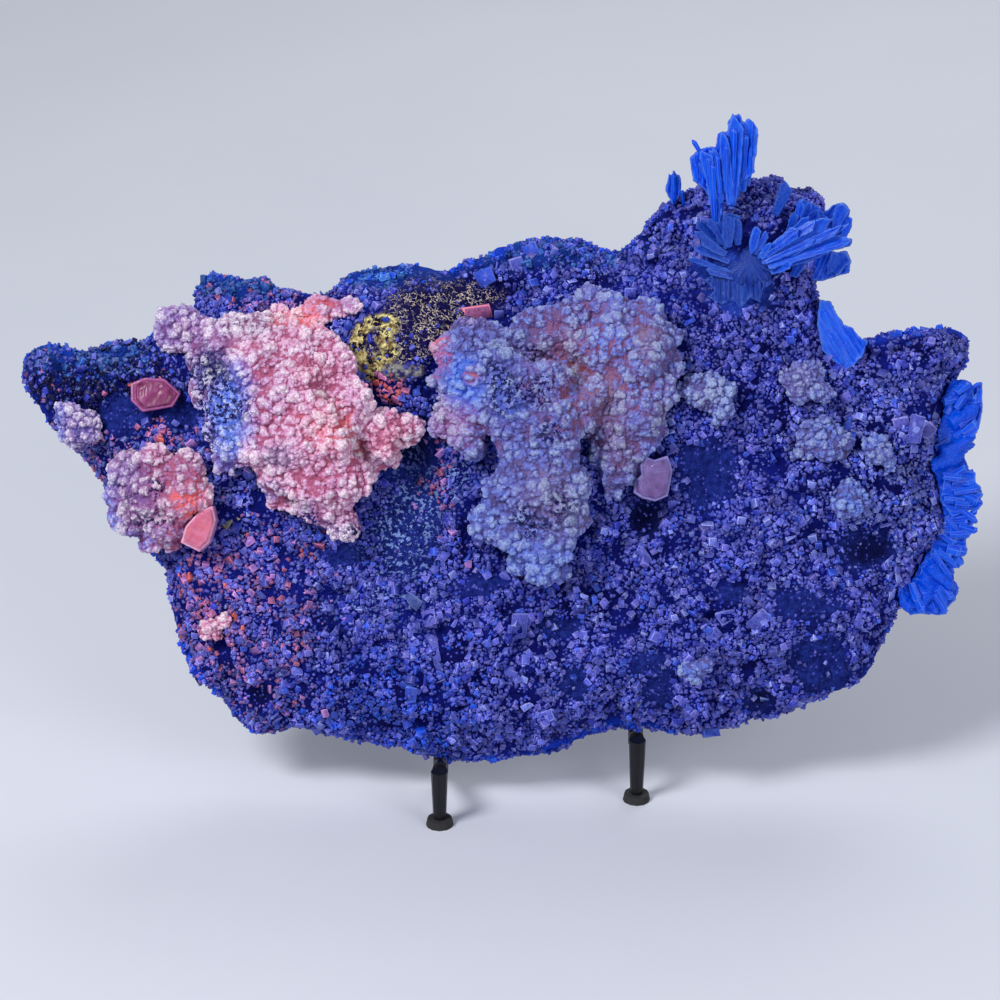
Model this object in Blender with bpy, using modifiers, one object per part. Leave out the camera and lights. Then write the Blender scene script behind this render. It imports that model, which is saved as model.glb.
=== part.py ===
"""Flower quartz: a crystal plate leaning back on a small black steel easel.

The plate is modelled lying flat, in a plane of its own: u to the right, v up the face and
w out of the face, towards the viewer. An empty then tips that plane back by LEAN_DEG and
lifts it onto the easel. Lists of places on the plate are in millimetres of u, v and w.
"""
import math
import random

import bmesh
import bpy
import numpy as np
from mathutils import Matrix, Vector, noise
from mathutils.bvhtree import BVHTree

MM = 0.001

# How the plate stands. At rest its face tips back from upright, and its lowest back
# corner is this far above the table.
LEAN_DEG = 25.0
PLATE_LIFT = 0.0090

# The thickness of the rock: at its rim, in its middle, and how fast it grows inwards.
RIM_THICKNESS = 0.017
CORE_THICKNESS = 0.034
THICKNESS_REACH = 0.020

# How far the front and back edges of the rim draw in from the widest line between them.
FRONT_EDGE_INSET = 0.0055
BACK_EDGE_INSET = 0.0090
WIDEST_AT = 0.42
INSET_REACH = 0.020

# Gap kept between pieces that grow on or rest against each other.
GAP = 0.0004

ROCK_VOXEL = 0.0034
ROCK_TRIANGLES = 2050
ROUGHNESS = 0.0034
LEDGE_STEP = 0.0022
FLOWER_VOXEL = 0.0020
SQUAT = 0.74

# The plate's outline, clockwise from its left tip.
PLATE_OUTLINE_MM = [
    (-194, 158), (-191, 166), (-183, 171), (-176, 171), (-171, 167), (-162, 169),
    (-155, 173), (-148, 171), (-139, 175), (-130, 181), (-123, 187), (-120, 198),
    (-112, 200), (-103, 196), (-94, 199), (-90, 193), (-84, 195), (-76, 191),
    (-68, 191), (-61, 201), (-50, 203), (-38, 204), (-19, 200), (-13, 207),
    (-1, 206), (8, 214), (30, 214), (40, 210), (46, 207), (54, 214), (65, 226),
    (74, 234), (98, 238), (112, 240), (117, 232), (127, 236), (132, 229), (128, 218),
    (131, 205), (128, 196), (131, 186), (137, 176), (146, 171), (155, 176),
    (172, 177), (185, 177), (191, 168), (186, 158), (180, 150), (178, 136),
    (177, 118), (180, 100), (175, 84), (164, 70), (158, 58), (152, 45), (147, 35),
    (130, 28), (116, 21), (100, 19), (80, 12), (62, 15), (50, 15), (46, 19),
    (38, 13), (25, 7), (8, 3), (-15, 3), (-34, 6), (-42, 9), (-66, 12), (-86, 16),
    (-98, 13), (-108, 23), (-114, 31), (-122, 32), (-128, 48), (-133, 62),
    (-137, 84), (-146, 96), (-156, 109), (-165, 122), (-179, 136), (-188, 149),
]

# Swellings (positive) and hollows (negative) of the rock face: u, v, reach along u,
# reach along v, height.
FACE_RELIEF_MM = [
    (-38, 172, 24, 21, 13), (-92, 146, 40, 34, 5), (18, 132, 48, 44, 6),
    (97, 205, 34, 27, 9), (-20, 36, 80, 26, 6), (-137, 112, 24, 20, 4),
    (125, 64, 22, 9, 5), (60, 40, 24, 12, 4), (162, 128, 20, 34, 4),
    (-34, 118, 17, 15, -12), (-60, 86, 20, 9, -8), (4, 191, 15, 9, -9),
    (57, 103, 9, 9, -10), (-88, 31, 16, 12, -7), (-150, 146, 13, 8, -6),
    (149, 91, 17, 10, -8), (103, 30, 9, 6, -7), (0, 79, 10, 6, -6),
    (80, 117, 15, 12, -6), (24, 57, 14, 6, -4), (-62, 47, 9, 8, -4),
    (118, 38, 12, 12, -4), (82, 190, 10, 8, -3), (-126, 141, 10, 8, -4),
]

# Calcite flowers: each is a list of florets, given as u, v, radius and lift of the
# floret's middle above the rock face.
CALCITE_FLOWERS_MM = {
    "calcite_flower_left": [
        (-127, 176, 10, 4), (-133, 178, 6, 2), (-118, 174, 7, 4), (-104, 174, 9, 5),
        (-93, 173, 10, 6), (-80, 169, 12, 8), (-69, 166, 9, 7), (-108, 163, 9, 5),
        (-119, 163, 6, 2), (-96, 159, 13, 9), (-80, 156, 13, 11), (-63, 160, 8, 8),
        (-117, 151, 7, 3), (-107, 148, 10, 6), (-92, 145, 13, 10), (-76, 144, 12, 12),
        (-60, 147, 10, 9), (-110, 137, 8, 4), (-97, 132, 12, 8), (-81, 130, 12, 12),
        (-66, 133, 11, 12), (-109, 123, 6, 2), (-88, 119, 9, 7), (-74, 117, 11, 11),
        (-60, 116, 10, 10), (-70, 105, 8, 8), (-61, 98, 7, 7), (-78, 104, 4, 4),
        (-46, 134, 10, 6), (-36, 135, 7, 5), (-45, 125, 6, 3), (-52, 120, 5, 3),
        (-72, 183, 8, 3), (-60, 184, 6, 2), (-88, 180, 6, 3), (-88, 108, 5, 3),
    ],
    "calcite_flower_middle": [
        (-12, 171, 10, 6), (-20, 166, 7, 4), (-1, 169, 8, 6), (-21, 154, 7, 5),
        (-11, 157, 11, 9), (3, 157, 11, 10), (-20, 143, 7, 4), (-8, 145, 10, 8),
        (-23, 137, 6, 3), (-13, 133, 7, 5), (-9, 127, 5, 3), (5, 143, 11, 10),
        (18, 152, 11, 11), (20, 138, 12, 11), (5, 132, 8, 7), (32, 143, 8, 8),
        (12, 178, 7, 5), (24, 178, 9, 7), (37, 186, 8, 6), (46, 182, 9, 8),
        (57, 181, 8, 6), (30, 169, 8, 7), (42, 170, 10, 12), (56, 168, 11, 11),
        (68, 173, 5, 5), (66, 162, 7, 7), (36, 156, 6, 8), (47, 154, 9, 9),
        (62, 151, 8, 7), (54, 142, 9, 8), (63, 137, 5, 5), (45, 133, 7, 4),
        (58, 133, 6, 4), (22, 125, 10, 10), (9, 120, 10, 9), (29, 114, 8, 8),
        (2, 110, 9, 8), (16, 107, 11, 11), (30, 102, 7, 7), (-4, 99, 8, 7),
        (6, 94, 9, 8), (21, 93, 10, 10), (16, 81, 8, 7), (24, 80, 5, 5),
        (8, 83, 5, 4), (47, 119, 7, 5), (44, 111, 4, 3),
    ],
    "calcite_flower_lower_left": [
        (-148, 121, 8, 4), (-136, 123, 8, 5), (-123, 120, 8, 5), (-150, 109, 8, 5),
        (-138, 111, 10, 7), (-124, 109, 9, 7), (-152, 101, 6, 4), (-144, 100, 8, 6),
        (-132, 99, 9, 6), (-139, 92, 6, 4), (-130, 91, 5, 3), (-117, 109, 5, 4),
    ],
    "calcite_flower_far_left": [
        (-172, 142, 6, 3), (-166, 137, 7, 4), (-173, 135, 5, 3), (-162, 134, 4, 2),
        (-168, 130, 4, 2), (-176, 145, 3, 1), (-161, 141, 3, 1),
    ],
    "calcite_flower_small_1": [
        (76, 152, 5, 3), (83, 154, 6, 4), (89, 152, 4, 3), (80, 147, 5, 4),
        (88, 144, 5, 4), (86, 138, 3, 2), (72, 152, 3, 2),
    ],
    "calcite_flower_small_2": [
        (116, 156, 5, 3), (123, 157, 6, 4), (119, 150, 5, 3), (127, 151, 5, 4),
        (117, 161, 3, 2),
    ],
    "calcite_flower_small_3": [
        (122, 136, 5, 4), (129, 136, 6, 5), (121, 129, 5, 3), (129, 128, 6, 4),
        (136, 130, 5, 3), (136, 124, 3, 2), (117, 125, 3, 2),
    ],
    "calcite_flower_small_4": [
        (148, 130, 4, 3), (152, 126, 4, 3), (147, 125, 4, 2), (154, 122, 3, 2),
    ],
    "calcite_flower_small_5": [
        (138, 112, 5, 4), (142, 107, 5, 4), (136, 106, 5, 3),
    ],
    "calcite_flower_small_6": [
        (75, 41, 4, 3), (80, 42, 4, 3), (78, 38, 3, 2),
    ],
    "calcite_flower_small_7": [
        (-116, 57, 4, 3), (-110, 60, 4, 3), (-112, 54, 3, 2),
    ],
}
FLOWER_TRIANGLES = {
    "calcite_flower_left": 740,
    "calcite_flower_middle": 800,
    "calcite_flower_lower_left": 270,
    "calcite_flower_far_left": 160,
}
SMALL_FLOWER_TRIANGLES = 90

# Single large calcite crystals, as flat faced blocks: the outline of the face that shows,
# how far that face stands above the rock, and the share by which it narrows upwards.
CALCITE_CRYSTALS_MM = {
    "calcite_crystal_left": (
        [(-147, 150), (-145, 157), (-134, 157), (-126, 150), (-131, 144), (-143, 143)], 6, 0.8,
    ),
    "calcite_crystal_low": (
        [(-127, 92), (-118, 86), (-113, 95), (-112, 104), (-117, 105), (-124, 99)], 13, 0.82,
    ),
    "calcite_crystal_middle": (
        [(52, 112), (51, 120), (54, 126), (63, 127), (67, 119), (64, 110), (56, 107)], 8, 0.86,
    ),
}

# Prisms of the quartz flower: foot (u, v, height above the face), tip (u, v, height above
# the face) and radius.
QUARTZ_FLOWER_MM = [
    (92, 216, 6, 96, 262, 12, 4.6), (96, 214, 3, 101, 260, 6, 4.4),
    (90, 216, 8, 89, 255, 15, 3.4), (86, 214, 5, 83, 249, 9, 4.2),
    (84, 212, 2, 78, 247, 4, 3.6), (87, 214, 8, 85, 245, 14, 2.6),
    (84, 240, 6, 77, 252, 10, 1.5), (93, 208, 2, 92, 223, 13, 4.6),
    (90, 206, 2, 82, 217, 10, 3.6), (88, 204, 2, 74, 213, 9, 3.4),
    (88, 202, 2, 72, 205, 8, 2.8), (90, 200, 1, 77, 196, 7, 2.6),
    (99, 206, 2, 103, 218, 12, 3.4), (102, 206, 2, 110, 214, 11, 3.0),
    (99, 200, 2, 97, 186, 8, 3.4), (103, 199, 2, 106, 188, 8, 2.4),
    (104, 201, 2, 118, 203, 10, 3.2), (106, 204, 2, 124, 212, 12, 3.6),
    (108, 206, 2, 131, 219, 11, 3.6), (110, 208, 0, 138, 217, 7, 3.2),
    (112, 205, 2, 137, 212, 9, 2.8), (110, 210, 2, 128, 226, 10, 3.6),
    (112, 213, 0, 120, 229, 9, 3.0), (112, 202, 2, 124, 203, 14, 3.8),
    (120, 205, -2, 140, 211, 2, 3.4), (118, 212, -2, 139, 224, 3, 4.2),
    (120, 202, -4, 139, 203, 1, 4.0), (110, 222, -2, 115, 234, 8, 2.8),
]
QUARTZ_HUB_MM = (98, 205, 15, 13, 9)
QUARTZ_SPUR_MM = [(72, 226, 1, 69, 239, 4, 2.6), (74, 226, 1, 72, 236, 5, 1.9)]

# The quartz crust along the right edge: the outline of its root, the root's depths, and
# the tips of its outward pointing prisms.
CRUST_ROOT_MM = [
    (174, 158), (186, 155), (187, 140), (182, 128), (185, 114), (184, 98), (179, 86),
    (177, 70), (168, 64), (160, 67), (166, 80), (173, 94), (173, 120), (173, 140),
]
CRUST_ROOT_DEPTHS = (0.005, 0.0145)
CRUST_TIPS_MM = [
    (184, 161), (189, 157), (193, 154), (194, 147), (191, 140), (191, 133), (187, 126),
    (190, 120), (193, 112), (193, 106), (191, 100), (190, 95), (186, 88), (185, 82),
    (182, 77), (183, 71), (179, 65), (173, 61), (165, 61),
]
CRUST_TIP_W = 0.012
CRUST_TIP_SPREAD = 0.004
CRUST_PRISM_LENGTH = 0.016
CRUST_PRISM_RADIUS = 0.0034
CRUST_FAN_CENTRE_MM = (140, 112)
QUARTZ_LEDGE_MM = [
    (129, 190), (133, 184), (138, 177), (147, 171), (148, 167), (142, 162),
    (136, 167), (128, 176),
]
QUARTZ_LEDGE_DEPTHS = (0.013, 0.0265)
LEDGE_NARROWING = 0.9

# Larger rhombs of the druse that are fused to the rock: u, v and edge length.
FACE_RHOMBS_MM = [
    (-63, 76, 6), (-74, 77, 6), (-53, 53, 6), (-29, 60, 6), (-36, 69, 7), (6, 57, 8),
    (83, 54, 6), (89, 60, 7), (104, 58, 7), (77, 65, 6), (42, 94, 7), (51, 28, 6),
    (14, 43, 8), (-60, 35, 7), (-44, 14, 6), (-20, 25, 6), (17, 20, 6), (78, 23, 6),
    (92, 28, 7), (147, 62, 7), (162, 134, 7), (-95, 24, 6), (-118, 40, 7),
    (-105, 55, 6), (-84, 57, 6), (0, 205, 6), (26, 205, 6), (58, 207, 6), (70, 215, 6),
    (126, 232, 6), (174, 168, 7), (152, 170, 6), (-180, 162, 6), (-160, 163, 6),
    (-112, 192, 6), (-98, 187, 6), (-56, 199, 6), (110, 50, 6), (135, 40, 7),
    (68, 85, 6), (97, 85, 7), (120, 115, 7), (30, 70, 6), (-32, 12, 7),
]

# The easel. Its two sides stand at these places along u, and the shelf arm of each reaches
# this far along w under the plate.
BAR_RADIUS = 0.0030
EASEL_SIDES_MM = {"left": (-24, 27), "right": (55, 10)}
BACK_REST_TOP_V = 0.142
STRUT_TOP_V = 0.128
REAR_FOOT_Y = 0.118
REAR_SPLAY = 0.022
FRONT_LEG_TOP_RADIUS = 0.0034
FRONT_LEG_FOOT_RADIUS = 0.0026
FOOT_PAD_RADIUS = 0.0055
FOOT_PAD_HEIGHT = 0.0030
FOOT_PAD_SIDES = 12
LOWER_BAR_DOWN_STRUT = 0.86

# How the bars are brought up to the rock: lines sent towards it on each side of a bar's
# middle, places along the bar, and how far off the lines start.
BAR_PROBES = 4
PROBES_ALONG = 41
PROBE_FROM = 0.05
UPPER_BAR_V = 0.104


def clear_scene():
    for obj in list(bpy.data.objects):
        bpy.data.objects.remove(obj)


def new_collection(name, hidden=False):
    made = bpy.data.collections.new(name)
    made.hide_render = hidden
    bpy.context.scene.collection.children.link(made)
    return made


def finish(name, color, roughness, metallic=0.0):
    made = bpy.data.materials.new(name)
    made.use_nodes = True
    shader = made.node_tree.nodes["Principled BSDF"]
    shader.inputs["Base Color"].default_value = (*color, 1.0)
    shader.inputs["Roughness"].default_value = roughness
    shader.inputs["Metallic"].default_value = metallic
    return made


def add_object(name, data, where, material=None):
    obj = bpy.data.objects.new(name, data)
    where.objects.link(obj)
    if material:
        data.materials.append(material)
    return obj


def drop(obj):
    bpy.data.objects.remove(obj)


def evaluated_copy(obj):
    """The object's mesh as its modifiers leave it, as a mesh of its own."""
    graph = bpy.context.evaluated_depsgraph_get()
    graph.update()
    return bpy.data.meshes.new_from_object(obj.evaluated_get(graph))


def bake(obj):
    """Swaps the object's mesh for what its modifiers make of it."""
    mesh = evaluated_copy(obj)
    obj.modifiers.clear()
    obj.data = mesh
    return obj


def flat_block(name, outline, low, high, where):
    """A block with this outline in the plate's plane, from w = low to w = high."""
    curve = bpy.data.curves.new(name + "_outline", "CURVE")
    curve.dimensions = "2D"
    curve.fill_mode = "BOTH"
    curve.extrude = (high - low) / 2
    spline = curve.splines.new("POLY")
    spline.points.add(len(outline) - 1)
    for point, (u, v) in zip(spline.points, outline):
        point.co = (u * MM, v * MM, 0.0, 1.0)
    spline.use_cyclic_u = True
    drawn = add_object(name + "_curve", curve, where)
    mesh = evaluated_copy(drawn)
    drop(drawn)
    shape = bmesh.new()
    shape.from_mesh(mesh)
    bmesh.ops.remove_doubles(shape, verts=shape.verts, dist=0.00001)
    bmesh.ops.translate(shape, verts=shape.verts, vec=(0, 0, (high + low) / 2))
    bmesh.ops.recalc_face_normals(shape, faces=shape.faces)
    shape.to_mesh(mesh)
    shape.free()
    mesh.name = name
    return add_object(name, mesh, where)


def rim_offsets(points):
    """For points in the plate's plane: distance to the outline and the way in from it."""
    corners = np.array(PLATE_OUTLINE_MM, float) * MM
    ends = np.roll(corners, -1, axis=0)
    along = ends - corners
    best = np.full(len(points), 1e9)
    nearest = np.zeros((len(points), 2))
    for start, step in zip(corners, along):
        share = np.clip((points - start) @ step / (step @ step), 0, 1)
        foot = start + share[:, None] * step
        distance = np.linalg.norm(points - foot, axis=1)
        closer = distance < best
        best[closer] = distance[closer]
        nearest[closer] = foot[closer]
    return best, nearest


def face_height(u, v):
    """Height of the rock face above the back plane at one place, before fine roughness."""
    distance, _ = rim_offsets(np.array([[u, v]]))
    return float(face_heights(np.array([[u, v]]), distance)[0])


def face_heights(points, distance):
    grown = 1 - np.exp(-distance / THICKNESS_REACH)
    height = RIM_THICKNESS + (CORE_THICKNESS - RIM_THICKNESS) * grown
    settle = np.clip(distance / THICKNESS_REACH, 0, 1)
    for u, v, reach_u, reach_v, rise in FACE_RELIEF_MM:
        far = ((points[:, 0] / MM - u) / reach_u) ** 2 + ((points[:, 1] / MM - v) / reach_v) ** 2
        height = height + rise * MM * np.exp(-far) * settle
    return height


def back_height(u, v):
    """The broken back bulges forward from the flat back plane, never behind it."""
    waves = noise.fractal(Vector((u * 22, v * 22, 3.1)), 0.7, 2.0, 4)
    return max(0.0, 0.0026 + 0.0045 * waves)


def make_rock(where, helpers):
    """The rock plate: its outline as a slab, carved into relief, then cut down in faces."""
    rock = flat_block("rock_plate", PLATE_OUTLINE_MM, 0.0, 0.024, where)
    remesh = rock.modifiers.new("even_faces", "REMESH")
    remesh.mode = "VOXEL"
    remesh.voxel_size = ROCK_VOXEL
    bake(rock)
    mesh = rock.data
    places = np.empty(len(mesh.vertices) * 3, np.float32)
    mesh.vertices.foreach_get("co", places)
    places = places.reshape(-1, 3).astype(float)
    share = np.clip(places[:, 2] / 0.024, 0, 1)
    distance, nearest = rim_offsets(places[:, :2])
    tops = face_heights(places[:, :2], distance)
    centre = places[:, :2].mean(axis=0)
    inward = places[:, :2] - nearest
    length = np.linalg.norm(inward, axis=1)
    to_centre = centre - places[:, :2]
    to_centre /= np.linalg.norm(to_centre, axis=1)[:, None]
    inward = np.where(length[:, None] > 0.002, inward / np.maximum(length, 1e-9)[:, None], to_centre)
    above = np.clip((share - WIDEST_AT) / (1 - WIDEST_AT), 0, 1)
    below = np.clip((WIDEST_AT - share) / WIDEST_AT, 0, 1)
    inset = FRONT_EDGE_INSET * above**2 + BACK_EDGE_INSET * below**2
    inset *= np.clip(1 - distance / INSET_REACH, 0, 1) ** 2
    for i, vertex in enumerate(mesh.vertices):
        u, v = places[i, :2]
        low = back_height(u, v)
        w = low + (tops[i] - low) * share[i]
        rough = noise.fractal(Vector((u * 75, v * 75, w * 75)), 0.6, 2.1, 3)
        ledge = noise.cell(Vector((u * 60, v * 60 + w * 40, w * 60))) - 0.5
        lift = (ROUGHNESS * rough + LEDGE_STEP * ledge) * share[i]
        side = 0.0016 * noise.noise(Vector((u * 110, v * 110, w * 160)))
        vertex.co = (
            u + inward[i, 0] * (inset[i] + side),
            v + inward[i, 1] * (inset[i] + side),
            w + lift,
        )
    closed = rock.modifiers.new("folds_closed", "REMESH")
    closed.mode = "VOXEL"
    closed.voxel_size = ROCK_VOXEL * 0.7
    bake(rock)
    fewer = rock.modifiers.new("fewer_faces", "DECIMATE")
    fewer.ratio = ROCK_TRIANGLES / (2 * len(rock.data.polygons))
    fewer.use_collapse_triangulate = True
    bake(rock)
    fuse_rhombs(rock, helpers)
    return rock


def rhomb(name, edge, centre, turn, where):
    """One rhomb of the druse: a cube squeezed along a corner to corner line, then turned."""
    shape = bmesh.new()
    bmesh.ops.create_cube(shape, size=edge)
    lean = Matrix(((1, 0.28, 0, 0), (0, 1, 0.22, 0), (0, 0, 0.8, 0), (0, 0, 0, 1)))
    shape.transform(Matrix.Translation(centre) @ turn.to_4x4() @ lean)
    mesh = bpy.data.meshes.new(name)
    shape.to_mesh(mesh)
    shape.free()
    return add_object(name, mesh, where)


def random_turn(rng, tilt):
    """A turn about w by any angle, after a tilt of up to that many radians."""
    spin = Matrix.Rotation(rng.uniform(0, math.tau), 3, "Z")
    axis = Vector((rng.uniform(-1, 1), rng.uniform(-1, 1), 0.2)).normalized()
    return Matrix.Rotation(rng.uniform(-tilt, tilt), 3, axis) @ spin


def fuse_rhombs(rock, helpers):
    rng = random.Random(11)
    grown = bpy.data.collections.new("rhombs_on_rock")
    helpers.children.link(grown)
    for i, (u, v, edge) in enumerate(FACE_RHOMBS_MM):
        size = edge * MM
        w = face_height(u * MM, v * MM) + size * rng.uniform(0.02, 0.14)
        centre = Vector((u * MM, v * MM, w))
        rhomb(f"rhomb_{i}", size, centre, random_turn(rng, 0.6), grown)
    join_to(rock, grown)


def join_to(base, others):
    """Boolean union of base with every object of a collection, which is then emptied."""
    union = base.modifiers.new("grown_together", "BOOLEAN")
    union.operation = "UNION"
    union.operand_type = "COLLECTION"
    union.collection = others
    bake(base)
    for obj in list(others.objects):
        drop(obj)
    keep_largest_body(base)


def cut_by(obj, cutter):
    difference = obj.modifiers.new("cut_" + cutter.name, "BOOLEAN")
    difference.operation = "DIFFERENCE"
    difference.object = cutter
    bake(obj)
    keep_largest_body(obj)


def keep_largest_body(obj):
    """Drops crumbs that a cut leaves beside the piece."""
    shape = bmesh.new()
    shape.from_mesh(obj.data)
    bmesh.ops.triangulate(shape, faces=shape.faces)
    bmesh.ops.remove_doubles(shape, verts=shape.verts, dist=0.000002)
    bmesh.ops.dissolve_degenerate(shape, edges=shape.edges, dist=0.000002)
    unseen = set(shape.verts)
    bodies = []
    while unseen:
        body = set()
        queue = [unseen.pop()]
        while queue:
            vertex = queue.pop()
            body.add(vertex)
            for edge in vertex.link_edges:
                other = edge.other_vert(vertex)
                if other in unseen:
                    unseen.discard(other)
                    queue.append(other)
        bodies.append(body)
    bodies.sort(key=len, reverse=True)
    crumbs = [vertex for body in bodies[1:] for vertex in body]
    bmesh.ops.delete(shape, geom=crumbs, context="VERTS")
    shape.to_mesh(obj.data)
    shape.free()


def clearance_of(obj, helpers):
    """A cutter that is the object grown by the gap on every side."""
    cutter = add_object(obj.name + "_clearance", obj.data.copy(), helpers)
    swell = cutter.modifiers.new("gap", "DISPLACE")
    swell.direction = "NORMAL"
    swell.mid_level = 0.0
    swell.strength = GAP
    bake(cutter)
    cutter.display_type = "WIRE"
    cutter.hide_render = True
    return cutter


def make_flower(name, florets, triangles, where):
    """A calcite flower: squat balls with smaller lumps around them, melted into one."""
    rng = random.Random(len(florets) * 7 + triangles)
    shape = bmesh.new()
    for u, v, radius, lift in florets:
        r = radius * MM
        middle = Vector((u * MM, v * MM, face_height(u * MM, v * MM) + lift * MM))
        add_ball(shape, middle, r, rng)
        for _ in range(5 if radius < 7 else 8):
            angle = rng.uniform(0, math.tau)
            climb = rng.uniform(0.1, 1.2)
            out = Vector((
                math.cos(angle) * math.cos(climb),
                math.sin(angle) * math.cos(climb),
                math.sin(climb) * SQUAT,
            ))
            add_ball(shape, middle + out * r * 0.82, r * rng.uniform(0.28, 0.42), rng)
    mesh = bpy.data.meshes.new(name)
    shape.to_mesh(mesh)
    shape.free()
    flower = add_object(name, mesh, where)
    melt = flower.modifiers.new("one_body", "REMESH")
    melt.mode = "VOXEL"
    melt.voxel_size = FLOWER_VOXEL if triangles > SMALL_FLOWER_TRIANGLES else FLOWER_VOXEL / 2
    bake(flower)
    keep_largest_body(flower)
    fewer = flower.modifiers.new("fewer_faces", "DECIMATE")
    fewer.ratio = min(1.0, triangles / len(flower.data.polygons))
    fewer.use_collapse_triangulate = True
    return bake(flower)


def add_ball(shape, middle, radius, rng):
    squash = Matrix.Diagonal((1.0, rng.uniform(0.85, 1.1), SQUAT, 1.0))
    turn = Matrix.Rotation(rng.uniform(0, math.tau), 4, "Z")
    bmesh.ops.create_icosphere(
        shape, subdivisions=2, radius=radius, matrix=Matrix.Translation(middle) @ turn @ squash
    )


def narrow_top(obj, middle_w, share):
    """Draws the upper face of a block in towards its middle, so its sides slope."""
    corners = [vertex for vertex in obj.data.vertices if vertex.co.z > middle_w]
    centre = sum((vertex.co for vertex in corners), Vector()) / len(corners)
    for vertex in corners:
        vertex.co.x = centre.x + (vertex.co.x - centre.x) * share
        vertex.co.y = centre.y + (vertex.co.y - centre.y) * share


def make_crystal(name, outline, rise, narrowing, where):
    u = sum(point[0] for point in outline) / len(outline) * MM
    v = sum(point[1] for point in outline) / len(outline) * MM
    face = face_height(u, v)
    crystal = flat_block(name, outline, face - 0.010, face + rise * MM, where)
    narrow_top(crystal, face, narrowing)
    bevel = crystal.modifiers.new("worn_edges", "BEVEL")
    bevel.width = 0.0012
    bevel.segments = 1
    return bake(crystal)


def prism(name, foot, tip, radius, spin, where):
    """A six sided quartz prism with a pointed end."""
    length = (tip - foot).length
    point = radius * 1.15
    shape = bmesh.new()
    bmesh.ops.create_cone(
        shape, cap_ends=True, segments=6, radius1=radius, radius2=radius * 0.88, depth=length - point
    )
    top = max(shape.faces, key=lambda face: face.calc_center_median().z)
    bmesh.ops.poke(shape, faces=[top], offset=point)
    upright = (tip - foot).to_track_quat("Z", "Y").to_matrix().to_4x4()
    middle = foot + (tip - foot) * ((length - point) / 2 / length)
    shape.transform(Matrix.Translation(middle) @ upright @ Matrix.Rotation(spin, 4, "Z"))
    mesh = bpy.data.meshes.new(name)
    shape.to_mesh(mesh)
    shape.free()
    return add_object(name, mesh, where)


def above_face(u, v, rise):
    return Vector((u * MM, v * MM, face_height(u * MM, v * MM) + rise * MM))


def make_prisms(name, prisms, where, helpers, seed):
    """Quartz prisms that grow into each other, joined in one solid."""
    rng = random.Random(seed)
    group = bpy.data.collections.new(name + "_prisms")
    helpers.children.link(group)
    first = None
    for i, (u0, v0, h0, u1, v1, h1, radius) in enumerate(prisms):
        foot = above_face(u0, v0, h0)
        # A tip past the rim is measured from the face under the foot.
        tip = Vector((u1 * MM, v1 * MM, foot.z + (h1 - h0) * MM))
        home = group if i else where
        made = prism(name if i == 0 else f"{name}_{i}", foot, tip, radius * MM, rng.uniform(0, 1), home)
        first = first or made
    return first, group


def make_quartz_flower(where, helpers):
    flower, group = make_prisms("quartz_flower", QUARTZ_FLOWER_MM, where, helpers, 5)
    u, v, reach_u, reach_v, rise = QUARTZ_HUB_MM
    shape = bmesh.new()
    bmesh.ops.create_icosphere(
        shape,
        subdivisions=2,
        radius=1.0,
        matrix=Matrix.Translation(above_face(u, v, -2))
        @ Matrix.Diagonal((reach_u * MM, reach_v * MM, rise * MM, 1.0)),
    )
    mesh = bpy.data.meshes.new("quartz_hub")
    shape.to_mesh(mesh)
    shape.free()
    add_object("quartz_hub", mesh, group)
    join_to(flower, group)
    return flower


def make_crust(where, helpers):
    """The crust's root with a row of prisms that fan out to the right."""
    rng = random.Random(17)
    crust = flat_block("quartz_crust_right", CRUST_ROOT_MM, *CRUST_ROOT_DEPTHS, where)
    group = bpy.data.collections.new("crust_prisms")
    helpers.children.link(group)
    hub_u, hub_v = CRUST_FAN_CENTRE_MM
    for i, (u, v) in enumerate(CRUST_TIPS_MM):
        tip = Vector((u * MM, v * MM, CRUST_TIP_W + rng.uniform(-1, 1) * CRUST_TIP_SPREAD))
        way = Vector((u - hub_u, v - hub_v, 0)).normalized()
        way.z = rng.uniform(-0.25, 0.15)
        foot = tip - way * CRUST_PRISM_LENGTH
        radius = CRUST_PRISM_RADIUS * rng.uniform(0.75, 1.2)
        prism(f"crust_{i}", foot, tip, radius, rng.uniform(0, 1), group)
    join_to(crust, group)
    return crust


def make_ledge(where):
    low, high = QUARTZ_LEDGE_DEPTHS
    ledge = flat_block("quartz_ledge", QUARTZ_LEDGE_MM, low, high, where)
    narrow_top(ledge, (low + high) / 2, LEDGE_NARROWING)
    return ledge


def tipped(plane, point):
    """A place on the plate in world coordinates."""
    return plane @ Vector(point)


def bar(name, points, radii, where, material, sides=3):
    """A round steel bar along these points, flat at both ends."""
    curve = bpy.data.curves.new(name, "CURVE")
    curve.dimensions = "3D"
    curve.bevel_depth = 1.0
    curve.bevel_resolution = sides
    curve.use_fill_caps = True
    spline = curve.splines.new("POLY")
    spline.points.add(len(points) - 1)
    for place, co, radius in zip(spline.points, points, radii):
        place.co = (*co, 1.0)
        place.radius = radius
    return add_object(name, curve, where, material)


def first_touch(rock, starts, way):
    """How far a bar can move this way before its round side reaches the rock.

    The bar's middle line runs through the starts, and the rock lies ahead of it.
    """
    tree = BVHTree.FromPolygons(
        [vertex.co for vertex in rock.data.vertices],
        [polygon.vertices for polygon in rock.data.polygons],
    )
    room = 1.0
    for start in starts:
        for step in range(-BAR_PROBES, BAR_PROBES + 1):
            aside = BAR_RADIUS * step / BAR_PROBES
            distance = tree.ray_cast(start + Vector((aside, 0, 0)), way)[3]
            if distance is not None:
                room = min(room, distance - math.sqrt(BAR_RADIUS**2 - aside**2))
    return room - GAP


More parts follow.
